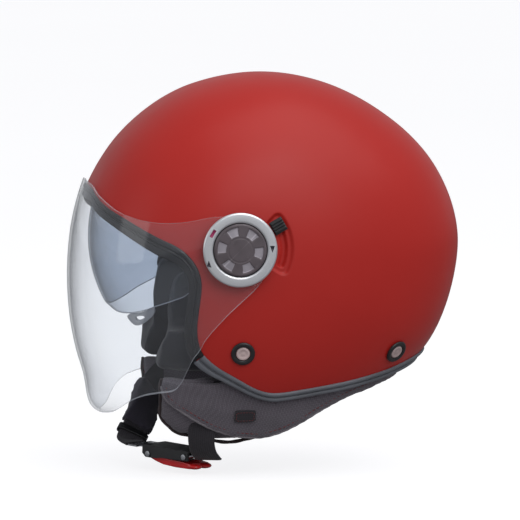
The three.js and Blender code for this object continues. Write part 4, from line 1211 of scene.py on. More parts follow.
def build_trims():
    lip, edge = pair_lines(on_shell(lip_line), on_shell(open_line), TRIM_RINGS)
    turn = int(np.argmax(shell_egg.point(lip[:, 0], lip[:, 1])[:, 2] < TRIM_TURN_Z))
    piece("face_edge_rubber", trim_body(lip[:turn], edge[:turn], FACE_SECTION, at_front=True),
          MAT["seal"], "seal_rubber", ["face_trim"])
    piece("lower_edge_rubber", trim_body(lip[turn:], edge[turn:], BASE_SECTION, at_front=False),
          MAT["trim"], "trim_rubber", ["base_trim"])


# ------------------------------------------------------------------ visor and sun lens
def build_visor():
    outline = np.vstack([spline(VISOR_EDGE, 16), np.array(VISOR_CORNERS, float)])
    rows = theta_rows(radius=122, half_width=VISOR_HALF_WIDTH, start=17.6, step=lambda r: 1.6)
    sheet = Sheet(visor_egg, lambda y, z: in_poly(y, z, outline), start=-10.0, seam=180.0,
                  thetas=rows, columns=VISOR_COLUMNS, lift=PIVOT_UP)
    v, f, flags = thick(sheet.verts(), sheet.verts(-VISOR_THICKNESS), sheet.faces,
                        rim=4, swell=0.1)
    piece("visor_sheet", (v, f), [MAT["visor"], MAT["visor_edge"]], "clear_visor",
          ["visor_shield"], "visor", flags=flags)


def build_lens():
    outline = np.vstack([spline(LENS_EDGE, 16), LENS_CORNER])
    # the rows are searched from the outline's point nearest the pivot
    distance = np.hypot(outline[:, 0], outline[:, 1] - PIVOT_UP)
    y, z = outline[int(np.argmin(distance))]
    rows = theta_rows(radius=101, half_width=LENS_HALF_WIDTH, start=distance.min() + 0.5,
                      step=lambda r: 1.5)
    sheet = Sheet(lens_egg, lambda y, z: in_poly(y, z + PIVOT_UP, outline),
                  start=math.degrees(math.atan2(z - PIVOT_UP, -y)), seam=180.0,
                  thetas=rows, columns=LENS_COLUMNS)
    v, f, flags = thick(sheet.verts(), sheet.verts(-LENS_THICKNESS), sheet.faces,
                        rim=4, swell=0.4)
    piece("sun_lens_sheet", (v, f), [MAT["lens"], MAT["lens_edge"]], "sun_lens",
          ["sun_lens"], "sun_visor", flags=flags, up=PIVOT_UP)


# Arm outlines, (y, z) about the pivot: both share the blade's two ends
ARM_START = [[-42.6, -30.6], [-40.0, -17], [-34, -1.6], [-20, 3]]
ARM_END = [[0, -8.7], [-12, -14], [-27, -22.4]]
ARM_PLAIN = [[-6, 7.8], [4.5, 7.6], [8.6, 1.5], [7.6, -5]]
ARM_TAIL = [[-4, 8.6], [7, 10.6], [16, 16], [25, 21.4], [32.9, 20.2], [31.7, 10.2],
            [24, 7], [14, 2], [8, -3.8]]
ARM_HOLE_RADIUS = 3.4
# Finger tab under the lens, (y, z) about the egg axis
TAB_OUTLINE = [[-78, -47.5], [-76.2, -52.3], [-72.5, -55.4], [-68.8, -54.4], [-64.5, -50],
               [-60.7, -44], [-61.6, -39.2], [-64.2, -40.6], [-70, -44.3]]
TAB_HOLE = [[-73, -48.6], [-71.6, -51.2], [-68.8, -50.1], [-66.9, -47.4], [-69.4, -46.7]]
UNDER_LENS = -LENS_THICKNESS - 0.35   # offset of the arms' and tab's outer face


def build_lens_arms():
    for (side, tag), middle in zip(SIDES, (ARM_TAIL, ARM_PLAIN)):
        outline = spline(ARM_START + middle + ARM_END, 8, closed=True)
        shape = patch(lens_egg, outline, UNDER_LENS, -LENS_THICKNESS - 2.0, side, step=2.2,
                      holes=[disc(0, 0, ARM_HOLE_RADIUS, 24)])
        bevel(piece("lens_lever_" + tag, shape, MAT["black"], "black_plastic",
                    ["lens_arm_" + tag], "sun_visor", up=PIVOT_UP), 0.35)


def build_finger_tab():
    outline = spline(TAB_OUTLINE, 10, closed=True) - [0, PIVOT_UP]
    hole = spline(TAB_HOLE, 8, closed=True) - [0, PIVOT_UP]
    shape = patch(lens_egg, outline, UNDER_LENS, -LENS_THICKNESS - 2.2, 1, step=1.0,
                  holes=[hole])
    bevel(piece("lens_finger_tab", shape, MAT["lens_edge"], "sun_lens", ["lens_pull_tab"],
                "sun_visor", up=PIVOT_UP), 0.45, segments=3)


def build_thumb_slide():
    """Ribbed button over the recess, its stem through the slot and its foot inside."""
    angle = math.radians(150)
    radius = sum(SLOT_RADII) / 2
    radial = np.array([0, -math.cos(angle), math.sin(angle)])
    around = np.array([0, -math.sin(angle), -math.cos(angle)])
    sideways = np.array([1.0, 0, 0])
    centre = np.array([0, -radius * math.cos(angle), radius * math.sin(angle) + PIVOT_UP])
    axes = (radial, around, sideways)
    stem = block(centre + sideways * 105.9, axes, (2.05, 2.9, 5.6))
    button = block(centre + sideways * 111.9, axes, (5.1, 5.3, 0.75))
    foot = block(centre + sideways * 100.75, axes, (3.9, 4.3, 0.5))
    ribs = [block(centre + sideways * 112.6 + around * (-3.3 + 2.2 * i), axes,
                  (4.4, 0.45, 0.65)) for i in range(4)]
    moulded("thumb_slide", [stem, button, foot] + ribs, 0.3, MAT["black"],
            ["thumb_slider"], "sun_visor")


# ------------------------------------------------------------------ side dials
RING_PROFILE = rounded([   # (radius, x)
    [19.95, 119.82], [27.45, 119.82], [27.45, 121.5], [26.5, 122.35], [21.2, 122.4],
    [20.15, 121.9], [19.95, 121.3]], 0.35)
# Marks on the ring's face: (y, z) outline about the pivot, material index
RING_MARKS = [
    ([[-24.8, -11.6], [-21.4, -12.6], [-23.4, -7.4]], 1),
    ([[21.7, 3.0], [25.3, 3.0], [23.6, -2.0]], 1),
    ([[-22.9, 10.3], [-20.9, 9.2], [-17.7, 14.4], [-19.7, 15.7]], 2)]
MARK_X = 122.36
CAP_TOP, CAP_BASE, CAP_RADIUS = 123.35, 120.12, 19.4
POCKET_PITCH = 360 / 6
POCKET_AT, POCKET_HALF_ANGLE = 8.0, 17.2   # degrees
POCKET_RADII = (10.3, 17.3)


def cap_shape():
    """Dial cap with a domed face, a ring step round the hub and six pockets. Faces in the
    pockets take material 1, a paler plastic that is a painted highlight.
    """
    count = 300
    radii = np.concatenate([np.linspace(0.25, 18.2, 70), np.linspace(18.35, CAP_RADIUS, 8),
                            [CAP_RADIUS]])
    R, A = np.meshgrid(radii, np.linspace(0, 2 * math.pi, count, endpoint=False),
                       indexing="ij")
    x = CAP_TOP - 0.28 * smoothstep(R, 6, 18.2) - 0.85 * smoothstep(R, 18.1, CAP_RADIUS) ** 1.6
    degrees = np.degrees(A) % POCKET_PITCH
    off = np.abs(degrees - POCKET_AT - POCKET_PITCH * (degrees > POCKET_AT + POCKET_PITCH / 2))
    lateral = (POCKET_HALF_ANGLE - off) * math.pi / 180 * R
    edge = np.minimum(np.minimum(R - POCKET_RADII[0], POCKET_RADII[1] - R), lateral)
    pocket = smoothstep(edge, -0.12, 1.0)
    x = x - pocket * (0.55 + 0.75 * (R - POCKET_RADII[0]) / 6.3)   # deeper outward
    x = x - 0.12 * (smoothstep(R, 8.2, 8.7) - smoothstep(R, 9.3, 9.9))
    x[-1] = CAP_BASE   # the last ring is the foot of the side wall
    rings = np.stack([x, -R * np.cos(A), R * np.sin(A)], -1).reshape(-1, 3)
    v = np.vstack([[CAP_TOP, 0, 0], rings, [CAP_BASE, 0, 0]])
    faces = [[0, 1 + (j + 1) % count, 1 + j] for j in range(count)]
    flags = [0] * count
    for i in range(len(radii) - 1):
        a, b = 1 + i * count, 1 + (i + 1) * count
        for j in range(count):
            k = (j + 1) % count
            faces.append([a + j, a + k, b + k, b + j])
            mean = 0.25 * (pocket[i, j] + pocket[i + 1, j] + pocket[i, k] + pocket[i + 1, k])
            # faces lying mostly in a pocket take material 1, the pale painted highlight
            flags.append(1 if mean > 0.55 else 0)
    base = 1 + (len(radii) - 1) * count
    faces += [[base + j, base + (j + 1) % count, len(v) - 1] for j in range(count)]
    flags += [0] * count
    return (v, outward(v, faces)), flags


def ring_shape():
    parts = [lathe(RING_PROFILE, 160)]
    flags = [0] * len(parts[0][1])
    for outline, material in RING_MARKS:
        parts.append(prism(outline, MARK_X - 0.05, MARK_X + 0.06))
        flags += [material] * len(parts[-1][1])
    return join(parts), flags


def build_dials():
    ring, ring_flags = ring_shape()
    cap, cap_flags = cap_shape()
    for side, tag in SIDES:
        if side < 0:
            ring, cap = mirrored(*ring), mirrored(*cap)
        piece("dial_trim_ring_" + tag, ring, [MAT["ring"], MAT["mark"], MAT["mark_red"]],
              "satin_metal", ["dial_ring_" + tag], flags=ring_flags, up=PIVOT_UP)
        # the cap's second material paints the pockets pale as a painted highlight
        piece("dial_knob_" + tag, cap, [MAT["cap"], MAT["cap_pocket_highlight"]], "dial_plastic",
              ["dial_cap_" + tag], "release_knob_" + tag, flags=cap_flags, up=PIVOT_UP)


# ------------------------------------------------------------------ press snaps
# Profiles: (radius, height above the shell)
SNAP_CUP = rounded([[5.45, 0.52], [8.9, 0.52], [8.9, 1.4], [8.2, 2.2], [7.3, 2.4],
                    [6.2, 2.2], [5.45, 1.8]], 0.3)
SNAP_STUD = [[0, 0.5], [5.0, 0.5], [5.1, 1.3], [4.8, 1.8], [4.1, 2.1], [3.3, 2.0],
             [2.7, 1.7], [1.7, 1.6], [1.1, 1.85], [0.0, 1.95]]
SNAP_SHANK = [[0, -7.8], [3.4, -7.8], [3.4, -6.9], [2.2, -6.6], [2.2, 0.42], [0, 0.42]]
SNAP_PLACES = (("front", 3.6, -70.0), ("rear", 121.3, -73.0))   # name, y, z


def place_on_shell(shape, y, z):
    """Turns a shape's x axis to the left flank's normal at (y, z) and moves it there."""
    width, e = shell_egg.width_at, 0.5
    normal = unit(np.array([1,
                            -float(width(y + e, z) - width(y - e, z)) / (2 * e),
                            -float(width(y, z + e) - width(y, z - e)) / (2 * e)]))
    turn = np.array(Vector((1, 0, 0)).rotation_difference(Vector(normal)).to_matrix())
    verts, faces = shape
    return verts @ turn.T + np.array([float(width(y, z)), y, z]), faces


def build_snaps():
    for where, y, z in SNAP_PLACES:
        cup = place_on_shell(lathe(SNAP_CUP, 72), y, z)
        stud = place_on_shell(join([lathe(SNAP_STUD, 56), lathe(SNAP_SHANK, 40)]), y, z)
        for side, tag in SIDES:
            if side < 0:
                cup, stud = mirrored(*cup), mirrored(*stud)
            piece(f"press_snap_cup_{where}_{tag}", cup, MAT["black"], "black_plastic",
                  [f"snap_ring_{where}_{tag}"])
            piece(f"press_snap_stud_{where}_{tag}", stud, MAT["snap"], "snap_centre",
                  [f"snap_stud_{where}_{tag}"])


# ------------------------------------------------------------------ chin straps
def band_frames(path, normals, start, end, count):
    """(origin, normal, width direction) at even steps of the curve from start to end."""
    curve, normal_curve = centripetal_curve(path), centripetal_curve(normals)
    e = 1e-3
    out = []
    for t in np.linspace(start, end, count):
        tangent = unit(curve(t + e) - curve(t - e))
        normal = normal_curve(t)
        normal = unit(normal - normal.dot(tangent) * tangent)
        out.append((curve(t), normal, np.cross(normal, tangent)))
    return out


def band_section(width, thickness, width_power, thickness_power):
    """Superellipse section: flat faces and rolled selvedges."""
    a = np.linspace(0, 2 * math.pi, 64, endpoint=False)
    return (signed_power(np.cos(a), 2 / width_power) * width / 2,
            signed_power(np.sin(a), 2 / thickness_power) * thickness / 2)


def band_rings(frames, section):
    return [[origin + across * a + normal * b for a, b in zip(*section)]
            for origin, normal, across in frames]


def strap(name, path, normals, count):
    frames = band_frames(path, normals, 0, 1, count)
    section = band_section(STRAP_WIDTH, STRAP_THICKNESS, 9.0, 2.6)
    along = travel(np.array([f[0] for f in frames]))
    uv = [[s, a] for s in along for a in section[0]]   # mm along, mm across
    uv += [uv[0], uv[-1]]
    return make_object(name, sweep(band_rings(frames, section)), MAT["strap"],
                       uv=np.array(uv))


def build_straps():
    register(strap("chin_webbing_left", LEFT_STRAP_PATH, LEFT_STRAP_NORMALS, 150),
             ["chin_strap_left"])
    right = strap("chin_webbing_right", RIGHT_STRAP_PATH, RIGHT_STRAP_NORMALS, 190)
    start, end = band_frames(RIGHT_STRAP_PATH, RIGHT_STRAP_NORMALS, 0.86, 0.985, 2)
    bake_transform(right)
    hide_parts("chin_strap_right")


def build_strap_loop():
    """Sleeve round the right strap: outer and inner skins swept together."""
    frames = band_frames(RIGHT_STRAP_PATH, RIGHT_STRAP_NORMALS, 0.79, 0.83, 9)
    outer = band_rings(frames, band_section(STRAP_WIDTH + 4.4, STRAP_THICKNESS + 4.0, 7, 2.8))
    inner = band_rings(frames, band_section(STRAP_WIDTH + 1.5, STRAP_THICKNESS + 1.4, 9, 3))
    piece("strap_loop", sweep(outer + inner[::-1], closed=True), MAT["black"],
          "strap_webbing", ["strap_keeper"])


# ------------------------------------------------------------------ ratchet buckle
# Buckle frame: u along it, w across it, n away from the chin
BUCKLE_ORIGIN = np.array([19.5, -40.7, -152.1])
BUCKLE_U = unit(np.array([40, 38, -3.0]))
BUCKLE_N = unit(np.array([0, 0, -1.0]) + BUCKLE_U * BUCKLE_U[2])
BUCKLE_W = np.cross(BUCKLE_N, BUCKLE_U)

LEVER_PIN_AT, STRAP_PIN_AT = (-13, 2.2), (22.5, 0.2)   # (u, n)
PIN_HALF = 14.2
PIN_PROFILE = rounded([   # (radius, w): headed at both ends
    [0, -PIN_HALF], [2.15, -PIN_HALF], [2.15, -13.25], [1.5, -13.25], [1.5, 13.25],
    [2.15, 13.25], [2.15, PIN_HALF], [0, PIN_HALF]], 0.35)

# Lever side profiles, (u, n)
LEVER_CHEEK = [
    [-15.6, 1.6], [-15.0, 4.0], [-12.6, 5.4], [-7, 7.2], [0, 8.8], [12, 9.4], [22, 9.2],
    [27, 9.0], [27, 5.4], [18, 4.4], [8, 4.2], [-5, 3.7], [-7.4, 2.2], [-8.2, -0.2],
    [-9.4, -0.4], [-10.4, 0.6], [-11.6, 0.2], [-11.9, 0.9], [-12.3, 2.0], [-13.9, 2.1],
    [-14.4, 0.9], [-15, 0.5]]
LEVER_SLAB = [
    [-10.9, 3.9], [-10.9, 6.0], [-7, 7.2], [0, 8.8], [12, 9.4], [22, 9.2], [27, 9.0],
    [27, 5.4], [18, 4.4], [8, 4.1], [-5, 3.7]]
LEVER_BLOBS = [   # ellipsoid centre and radii, (u, w, n)
    ((26.4, 5.4, 7.2), (6.4, 5.6, 2.3)), ((26.4, -5.4, 7.2), (6.4, 5.6, 2.3)),
    ((14, 0, 7.9), (9, 8.6, 1.9)), ((18, 7.2, 7.6), (9, 3.4, 1.9)),
    ((18, -7.2, 7.6), (9, 3.4, 1.9))]
DENT_U, DENT_RADII, DENT_DEPTH = 4.5, (7.6, 5.2), 1.15   # oval dent on the lever's back
COIL_RADIUS, COIL_TURNS, COIL_LENGTH, COIL_WIRE = 2.15, 3.25, 5.2, 0.31


def buckle(verts):
    """Points given as (u, w, n)."""
    v = np.asarray(verts, float)
    return BUCKLE_ORIGIN + v[:, :1] * BUCKLE_U + v[:, 1:2] * BUCKLE_W + v[:, 2:3] * BUCKLE_N


def buckle_solid(verts, faces):
    v = buckle(verts)
    return v, outward(v, faces)


def side_solid(outline, w0, w1):
    v, f = prism(outline, w0, w1)
    return buckle_solid(v[:, [1, 0, 2]], f)


def ellipsoid(centre, radii, rows=20):
    m = 2 * rows
    v, f = [], []
    for i in range(1, rows):
        a = math.pi * i / rows
        for j in range(m):
            b = math.pi * j / rows
            v.append([centre[0] + radii[0] * math.sin(a) * math.cos(b),
                      centre[1] + radii[1] * math.sin(a) * math.sin(b),
                      centre[2] + radii[2] * math.cos(a)])
    for i in range(rows - 2):
        for j in range(m):
            k = (j + 1) % m
            f.append([i * m + j, i * m + k, (i + 1) * m + k, (i + 1) * m + j])
    v += [[centre[0], centre[1], centre[2] + sign * radii[2]] for sign in (1, -1)]
    base = (rows - 2) * m
    for j in range(m):
        k = (j + 1) % m
        f.append([len(v) - 2, k, j])
        f.append([len(v) - 1, base + j, base + k])
    return buckle_solid(np.array(v), f)


def build_pins():
    for name, (u, n) in (("lever_pin", LEVER_PIN_AT), ("strap_pin", STRAP_PIN_AT)):
        v, f = lathe(PIN_PROFILE, 48, "z")
        shape = buckle_solid(np.column_stack([v[:, 0] + u, v[:, 2], v[:, 1] + n]), f)
        piece(name + "_turned", shape, MAT["steel"], "steel", [name])


def build_lever():
    solids = [side_solid(LEVER_SLAB, -10.4, 10.4), side_solid(LEVER_CHEEK, -10.5, -3.6),
              side_solid(LEVER_CHEEK, 3.6, 10.5)]
    solids += [ellipsoid(centre, radii) for centre, radii in LEVER_BLOBS]
    lever = moulded("red_lever", solids, 0.34, [MAT["lever"], MAT["lever_inset"]],
                    ["release_lever"], "buckle_lever")
    p = coords(lever)
    rel = p - BUCKLE_ORIGIN
    u, w, n = rel @ BUCKLE_U, rel @ BUCKLE_W, rel @ BUCKLE_N
    d = np.sqrt(((u - DENT_U) / DENT_RADII[0]) ** 2 + (w / DENT_RADII[1]) ** 2)
    dent = np.where(n > 7.4, DENT_DEPTH * (1 - smoothstep(d, 0.82, 1.06)), 0)
    set_coords(lever, p - BUCKLE_N * dent[:, None])
    inset = (d < 0.93) & (n > 6.8)
    for polygon in lever.data.polygons:
        polygon.material_index = 1 if all(inset[i] for i in polygon.vertices) else 0
    lever.data.update()


def build_coil():
    t = np.linspace(0, 1, 180)
    a = 2 * math.pi * COIL_TURNS * t
    path = buckle(np.column_stack([LEVER_PIN_AT[0] + COIL_RADIUS * np.cos(a),
                                   COIL_LENGTH * (t - 0.5),
                                   LEVER_PIN_AT[1] + COIL_RADIUS * np.sin(a)]))
    piece("lever_coil", tube(path, COIL_WIRE, 10), MAT["steel"], "steel", ["lever_spring"])


# ------------------------------------------------------------------ soft goods
def inside_shell(p, offset=-6.6):
    """Pulls points that lie behind the shell wall or its rubber back inside them."""
    angle = np.degrees(np.arctan2(p[:, 2], -p[:, 1]))
    r = np.hypot(p[:, 1], p[:, 2])
    reach = ((np.abs(p[:, 0]) / (SHELL_HALF_WIDTH + offset)) ** SECTION_POWER
             + (r / (shell_egg.radius(angle) + offset)) ** SECTION_POWER)
    covered = ~in_poly(p[:, 1], p[:, 2], opening(shifted(open_line, 1.0)))
    over = covered & (reach > 1)
    return p * np.where(over, reach ** (-1 / SECTION_POWER), 1.0)[:, None]


def inflate(ob, cap):
    """Start coordinates moved toward the end of a pressure cloth run, by at most cap mm."""
    last_frame = 20
    start = coords(ob)
    cloth = ob.modifiers.new("cloth", "CLOTH")
    settings = cloth.settings
    settings.quality, settings.mass = 5, 0.3
    settings.tension_stiffness = settings.compression_stiffness = 12.0
    settings.shear_stiffness, settings.bending_stiffness = 5, 0.6
    settings.use_pressure, settings.uniform_pressure_force = True, 4.0
    settings.effector_weights.gravity = 0
    cloth.point_cache.frame_start, cloth.point_cache.frame_end = 1, last_frame
    scene = bpy.context.scene
    for number in range(1, last_frame + 1):
        scene.frame_set(number)
    end = coords(ob.evaluated_get(bpy.context.evaluated_depsgraph_get()))
    ob.modifiers.clear()
    move = end - start
    length = np.linalg.norm(move, axis=1)[:, None]
    scene.frame_set(1)
    return start + move * np.minimum(1, cap / np.maximum(length, 1e-9))


def puff(node, name, material, voxel, shrink, cap, ease, clamp=True):
    """Padded piece: the CAD solid remeshed a little small, blown up as cloth by at most cap
    mm, kept inside the shell and subdivided."""
    me = NODES[node].data.copy()
    ob = bpy.data.objects.new(name, me)
    bpy.context.scene.collection.objects.link(ob)
    me.materials.clear()
    me.materials.append(material)
    bm = bmesh.new()
    bm.from_mesh(me)
    bmesh.ops.remove_doubles(bm, verts=bm.verts, dist=2e-6)
    bm.to_mesh(me)
    bm.free()
    add_remesh(ob, voxel).adaptivity = 0.0
    add_smooth(ob, ease)
    displace = ob.modifiers.new("shrink", "DISPLACE")
    displace.strength, displace.mid_level = -shrink / 1000.0, 0.0
    apply_modifiers(ob)
    points = inflate(ob, cap)
    set_coords(ob, inside_shell(points) if clamp else points)
    subdivide = ob.modifiers.new("subdivide", "SUBSURF")
    subdivide.levels = subdivide.render_levels = 1
    apply_modifiers(ob)
    shade_smooth(ob)
    return register(ob, [node])


def surface_tree(ob):
    return BVHTree.FromPolygons([Vector(q) for q in coords(ob)],
                                [list(p.vertices) for p in ob.data.polygons])


def hug(tree, points, lift):
    """Nearest surface points lifted along the surface normal, and the normals."""
    out, normals = [], []
    for q in points:
        location, normal, _, _ = tree.find_nearest(Vector(q))
        out.append(np.array(location) + np.array(normal) * lift)
        normals.append(np.array(normal))
    return np.array(out), np.array(normals)


def stitch_row(path, normals, length=2.2, gap=1.4, radius=0.28, sink=0.1):
    """Short thread loops laid along a path, each dipping into the cloth at its ends."""
    along = travel(path)
    arch = np.sin(np.linspace(0, math.pi, 7)) * (radius * 1.3) - radius * 0.7 - sink
    parts = []
    x = 0.6
    while x + length < along[-1]:
        t = np.linspace(x, x + length, 7)
        loop = interp_rows(t, along, path) + interp_rows(t, along, normals) * arch[:, None]
        parts.append(tube(loop, radius, 7))
        x += length + gap
    return join(parts)


def cord_twist(pitch, depth):
    """Two-strand swelling that turns by pitch radians a ring."""
    return lambda i, angles: depth * np.cos(2 * angles + i * pitch)


# ------------------------------------------------------------------ neck roll
# Seam and upper edge of the panel on each flank of the roll, (y, z)
ROLL_SEAM = spline([
    [-53.5, -94], [-51.3, -102.4], [-43.5, -109.6], [-34.7, -115.6], [-25.5, -121.4],
    [-15.8, -126.4], [-6, -130], [3.1, -132.4], [14, -133.6], [24, -133], [36, -129.6],
    [50, -122.6], [66, -113.2], [84, -104.6], [104, -98], [126, -91.6], [140, -86.6]], 10)
PANEL_TOP = spline([
    [-53, -90], [-40, -91.5], [-20, -92.5], [-8, -91.5], [6, -92.5], [16, -95.5],
    [25, -98.5], [33, -99.2], [48.9, -97.8], [64, -95.4], [80, -93.2], [96, -90.2],
    [111.8, -86.8], [128, -82.3], [139, -79.4]], 8)
ROLL_TAB = spline([
    [0.3, -119.4], [7, -119.8], [14.7, -119], [14.9, -115], [14.6, -111.6], [7, -111.2],
    [0.4, -111.9], [0.1, -115.6]], 8, closed=True)
ROLL_TAB_OUTER = 6.0   # offset of the tab's outer face


def roll_panel(side):
    """Upper panel with gentle wrinkles, held inside the shell."""
    v, f = patch(roll_egg, np.vstack([ROLL_SEAM, PANEL_TOP[::-1]]), 4.4, 2.4, side, step=2.0)
    y, z = v[:, 1], v[:, 2]
    wrinkle = (0.45 * np.sin(y / 7.5 + z / 4.1) * np.sin(z / 6.3 - y / 15.0)
               + 0.25 * np.sin(y / 3.1 + 1.3) * np.sin(z / 4.4))
    v[:, 0] += side * wrinkle
    return inside_shell(v, -6.0), f


def build_roll_panels():
    for side, tag in SIDES:
        mirror = np.array([side, 1, 1])
        panel = piece("roll_upper_panel_" + tag, roll_panel(side), MAT["roll"], "roll_fabric")
        bevel(panel, 0.6, angle=50)
        theta, angle = roll_egg.from_side(*ROLL_SEAM.T)
        line = smooth_path(even(roll_egg.point(theta, angle, 3.9) * mirror, 1.0), 6)
        piece("roll_seam_cord_" + tag, tube(line, 0.95, 12, cord_twist(0.9, 0.12)),
              MAT["cord"], "piping")
        theta, angle = roll_egg.from_side(*shifted(ROLL_SEAM, -3.4).T)
        low, high = (roll_egg.point(theta, angle, offset) * mirror for offset in (4.45, 5.45))
        row = even(low, 1.0)
        normals = unit_rows(resample(high - low, len(row)))
        piece("roll_seam_stitches_" + tag, stitch_row(row, normals), MAT["thread"], "piping")


def build_roll_piping(tree):
    """Piping round the lower edge, with a stitch row just above it."""
    low = spline(ROLL_LOWER_EDGE, 10)
    low = low[low[:, 0] < 150]
    width = roll_egg.width_at(low[:, 0], low[:, 1])
    left = np.column_stack([width - 1.6, shifted(low, 1.9)])[width > 14]
    path = np.vstack([left, left[::-1] * np.array([-1, 1, 1])])
    path = smooth_path(even(path, 1.2), 10)
    hugged, _ = hug(tree, path, 0.9)
    longest = 7   # mm a point may move to reach the roll
    pull = np.linalg.norm(hugged - path, axis=1)[:, None]
    path = np.where(pull < longest, hugged, path + (hugged - path) * longest / pull)
    path = smooth_path(path, 14)
    piece("roll_edge_piping", tube(path, 1.35, 14, cord_twist(0.7, 0.09)), MAT["piping"],
          "piping", ["roll_piping"])
    row, normals = hug(tree, path + np.array([0, 0, 3.2]), 0.15)
    row, normals = smooth_path(row, 8), unit_rows(smooth_path(normals, 8))
    stitches = stitch_row(row, normals, length=2.0, gap=1.6, radius=0.3, sink=0.05)
    piece("roll_edge_stitches", stitches, MAT["thread"], "piping")


def build_roll_tab():
    """Small stitched tab on the left flank."""
    v, f = patch(roll_egg, ROLL_TAB, ROLL_TAB_OUTER, 4.7, 1, step=1.0)
    tab = piece("roll_stitched_tab", (v, f), MAT["strap"], "strap_webbing", ["roll_tab"],
                uv=v[:, 1:3])
    bevel(tab, 0.3, angle=50)
    loop = resample(np.vstack([ROLL_TAB, ROLL_TAB[:1]]), 60)
    centre = loop.mean(0)
    loop = centre + (loop - centre) * np.array([0.83, 0.72])
    theta, angle = roll_egg.from_side(loop[:, 0], loop[:, 1])
    row = roll_egg.point(theta, angle, ROLL_TAB_OUTER + 0.02)
    normals = roll_egg.point(theta, angle, ROLL_TAB_OUTER + 1.02) - row
    stitches = stitch_row(row, normals, length=1.3, gap=0.8, radius=0.18, sink=0.0)
    piece("roll_tab_stitches", stitches, MAT["thread"], "piping")


def build_neck_roll():
    roll = puff("neck_roll", "neck_roll_body", MAT["roll"], voxel=4.6,
                shrink=0.3, cap=5.0, ease=3)
    tree = surface_tree(roll)
    build_roll_panels()
    build_roll_piping(tree)
    build_roll_tab()


# ------------------------------------------------------------------ pads and head lining
def build_pads():
    for _, tag in SIDES:
        puff("cheek_pad_" + tag, "cheek_cushion_" + tag, MAT["pad"],
             voxel=5.0, shrink=2.0, cap=5.0, ease=2)
    puff("crown_pad", "crown_cushion", MAT["pad"],
         voxel=4.0, shrink=1.2, cap=4.0, ease=1)
    puff("strap_comfort_pad", "strap_sleeve", MAT["strap_pad"],
         voxel=2.6, shrink=0.6, cap=2.2, ease=2, clamp=False)


LINING_THICKNESS = 6.6
# Side-view regions that the lining leaves out: low at the front, low at the back, the neck
# roll, and everything past the shell's opening
LINING_GAPS = [
    np.array([[-160, -160], [-160, -7], [34, -7], [34, -88], [-4, -88.1], [-4, -160]], float),
    np.array([[-5, -86], [170, -86], [170, -200], [-5, -200]], float),
    np.array(ROLL_LOWER_EDGE + ROLL_UPPER_EDGE, float),
    opening(shifted(open_line, -6))]


def keep_lining(y, z):
    ok = np.ones(np.shape(y), bool)
    for gap in LINING_GAPS:
        ok &= ~in_poly(y, z, gap)
    return ok


def build_lining():
    """Quilted lining of the head space, with grooves between its panels."""
    rows = theta_rows(radius=100, half_width=CAVITY_HALF_WIDTH, start=3.0, step=lambda r: 1.7)
    sheet = Sheet(cavity_egg, keep_lining, start=90.0, seam=-90.0, thetas=rows,
                  columns=LINING_COLUMNS)
    angle = ((sheet.angle + 180) % 360 - 180).ravel()
    # thinner where the crown leaves less room
    crown = (angle > 72) & (angle < 104)
    room = np.where(crown, 100.6 - cavity_egg.radius(angle), 99.0)
    outer = np.clip(np.minimum(LINING_THICKNESS, room), 1.0, LINING_THICKNESS)
    base = sheet.verts()
    normals = sheet.verts(1.0) - base
    x = base[:, 0]
    groove_distances = (np.abs(x) - 30.0,
                        np.abs(angle - 66) * math.pi / 180 * 95,
                        np.abs(angle - 118) * math.pi / 180 * 110)
    grooves = np.max([np.exp(-(d / 1.5) ** 2) for d in groove_distances], axis=0)
    quilt = 0.35 * np.abs(np.sin(x / 7.0)) ** 0.5 * np.abs(np.sin(angle / 3.6)) ** 0.5
    inner = np.minimum(0.5 + 1.3 * grooves - quilt, outer - 0.5)
    v, f, flags = thick(base + normals * outer[:, None], base + normals * inner[:, None],
                        sheet.faces, rim=3, swell=0.35)
    piece("head_lining", (v, f), [MAT["liner"], MAT["liner"]], "liner_fabric",
          ["comfort_liner"], flags=flags)


# ------------------------------------------------------------------ CAD nodes kept as they are
def repaint(node, material, edge):
    """Gives a CAD node its material and a fine bevel, edge mm wide."""
    ob = NODES[node]
    ob.data.materials.clear()
    ob.data.materials.append(MAT[material])
    bevel(ob, edge, angle=40)


def repaint_cad():
    for _, tag in SIDES:
        repaint("pivot_post_" + tag, "black", edge=0.15)
        repaint("visor_carrier_" + tag, "black", edge=0.15)
        repaint("dial_plate_" + tag, "black", edge=0.12)
        repaint("pivot_screw_" + tag, "steel", edge=0.12)
        repaint("strap_anchor_" + tag, "steel", edge=0.3)
    repaint("foam_liner", "foam", edge=0.8)
    repaint("buckle_body", "black", edge=0.2)
    repaint("ratchet_tongue", "steel", edge=0.2)


# ------------------------------------------------------------------ floor, light and camera, m
TARGET = Vector((AXIS + np.array([0, 27.2, -10.2])) / 1000.0)
FLOOR_HALF, FLOOR_Z = 40.0, -0.004
WORLD_COLOR, WORLD_STRENGTH = (0.94, 0.96, 1.0, 1), 0.42
LIGHTS = [   # name, place, size, watts
    ("overhead_softbox", (0.8, 0.7, 2.2), (2.2, 2.4), 25.0),
    ("side_softbox", (2.4, 0.5, 1.5), (1.5, 1.5), 18.0),
    ("front_fill", (0.8, -2.4, 0.8), (1.4, 1.4), 5.0)]
CAMERA_DISTANCE, VIEW_WIDTH, SENSOR_WIDTH = 5, 0.391, 36   # the sensor is in mm
CAMERA_TURN, CAMERA_RISE = math.radians(84), math.radians(5)   # from ahead toward the left


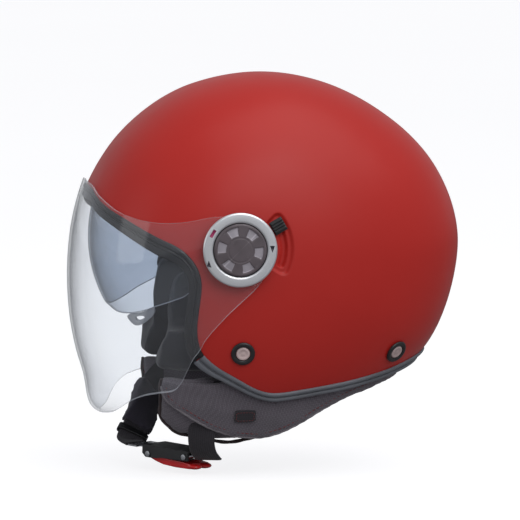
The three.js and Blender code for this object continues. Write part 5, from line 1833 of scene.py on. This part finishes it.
def floor_material():
    """Bright to the camera, duller to what it lights, so the underside stays dark."""
    s = Surface("studio_floor", Roughness=0.95)
    s.set(Base_Color=s.ramp(s.noise(scale=0.7, detail=2), [
        (0.3, (0.27, 0.27, 0.272, 1)), (0.7, (0.29, 0.29, 0.292, 1))]))
    glow = s.node("ShaderNodeEmission", {0: (0.985, 0.985, 1.0, 1), 1: 0.84})
    dull = s.node("ShaderNodeBsdfDiffuse", {0: (0.3, 0.3, 0.305, 1)})
    bright = s.node("ShaderNodeAddShader", {0: s.shader.outputs[0], 1: glow})
    seen = s.node("ShaderNodeLightPath", out="Is Camera Ray")
    s.finish(s.node("ShaderNodeMixShader", {0: seen, 1: dull, 2: bright}))
    return s.material


def build_floor():
    material = floor_material()
    me = bpy.data.meshes.new("studio_floor")
    corners = [(sx * FLOOR_HALF, sy * FLOOR_HALF, FLOOR_Z)
               for sx, sy in ((-1, -1), (1, -1), (1, 1), (-1, 1))]
    me.from_pydata(corners, [], [(0, 1, 2, 3)])
    me.materials.append(material)
    floor = bpy.data.objects.new("studio_floor", me)
    bpy.context.scene.collection.objects.link(floor)


def build_world():
    world = bpy.data.worlds.new("studio")
    bpy.context.scene.world = world
    world.use_nodes = True
    background = world.node_tree.nodes["Background"]
    background.inputs[0].default_value = WORLD_COLOR
    background.inputs[1].default_value = WORLD_STRENGTH


def build_lights():
    for name, place, size, watts in LIGHTS:
        light = bpy.data.lights.new(name, "AREA")
        light.shape = "RECTANGLE"
        light.size, light.size_y = size
        light.energy = watts
        ob = bpy.data.objects.new(name, light)
        bpy.context.scene.collection.objects.link(ob)
        ob.location = Vector(place)
        ob.rotation_euler = (TARGET - Vector(place)).to_track_quat("-Z", "Y").to_euler()


def build_camera():
    camera = bpy.data.cameras.new("camera")
    camera.lens = SENSOR_WIDTH * CAMERA_DISTANCE / VIEW_WIDTH
    camera.sensor_width = SENSOR_WIDTH
    camera.clip_end = 200
    ob = bpy.data.objects.new("camera", camera)
    bpy.context.scene.collection.objects.link(ob)
    direction = Vector((math.sin(CAMERA_TURN) * math.cos(CAMERA_RISE),
                        -math.cos(CAMERA_TURN) * math.cos(CAMERA_RISE),
                        math.sin(CAMERA_RISE)))
    ob.location = TARGET + direction * CAMERA_DISTANCE
    ob.rotation_euler = (-direction).to_track_quat("-Z", "Y").to_euler()
    bpy.context.scene.camera = ob
    bpy.context.scene.view_settings.view_transform = "Standard"


# ------------------------------------------------------------------ build, in order
build_shell()
build_trims()
build_visor()
build_lens()
build_lens_arms()
build_finger_tab()
build_thumb_slide()
build_dials()
build_snaps()
build_straps()
build_strap_loop()
build_pins()
build_lever()
build_coil()
build_neck_roll()
build_pads()
build_lining()
repaint_cad()
build_floor()
build_world()
build_lights()
build_camera()
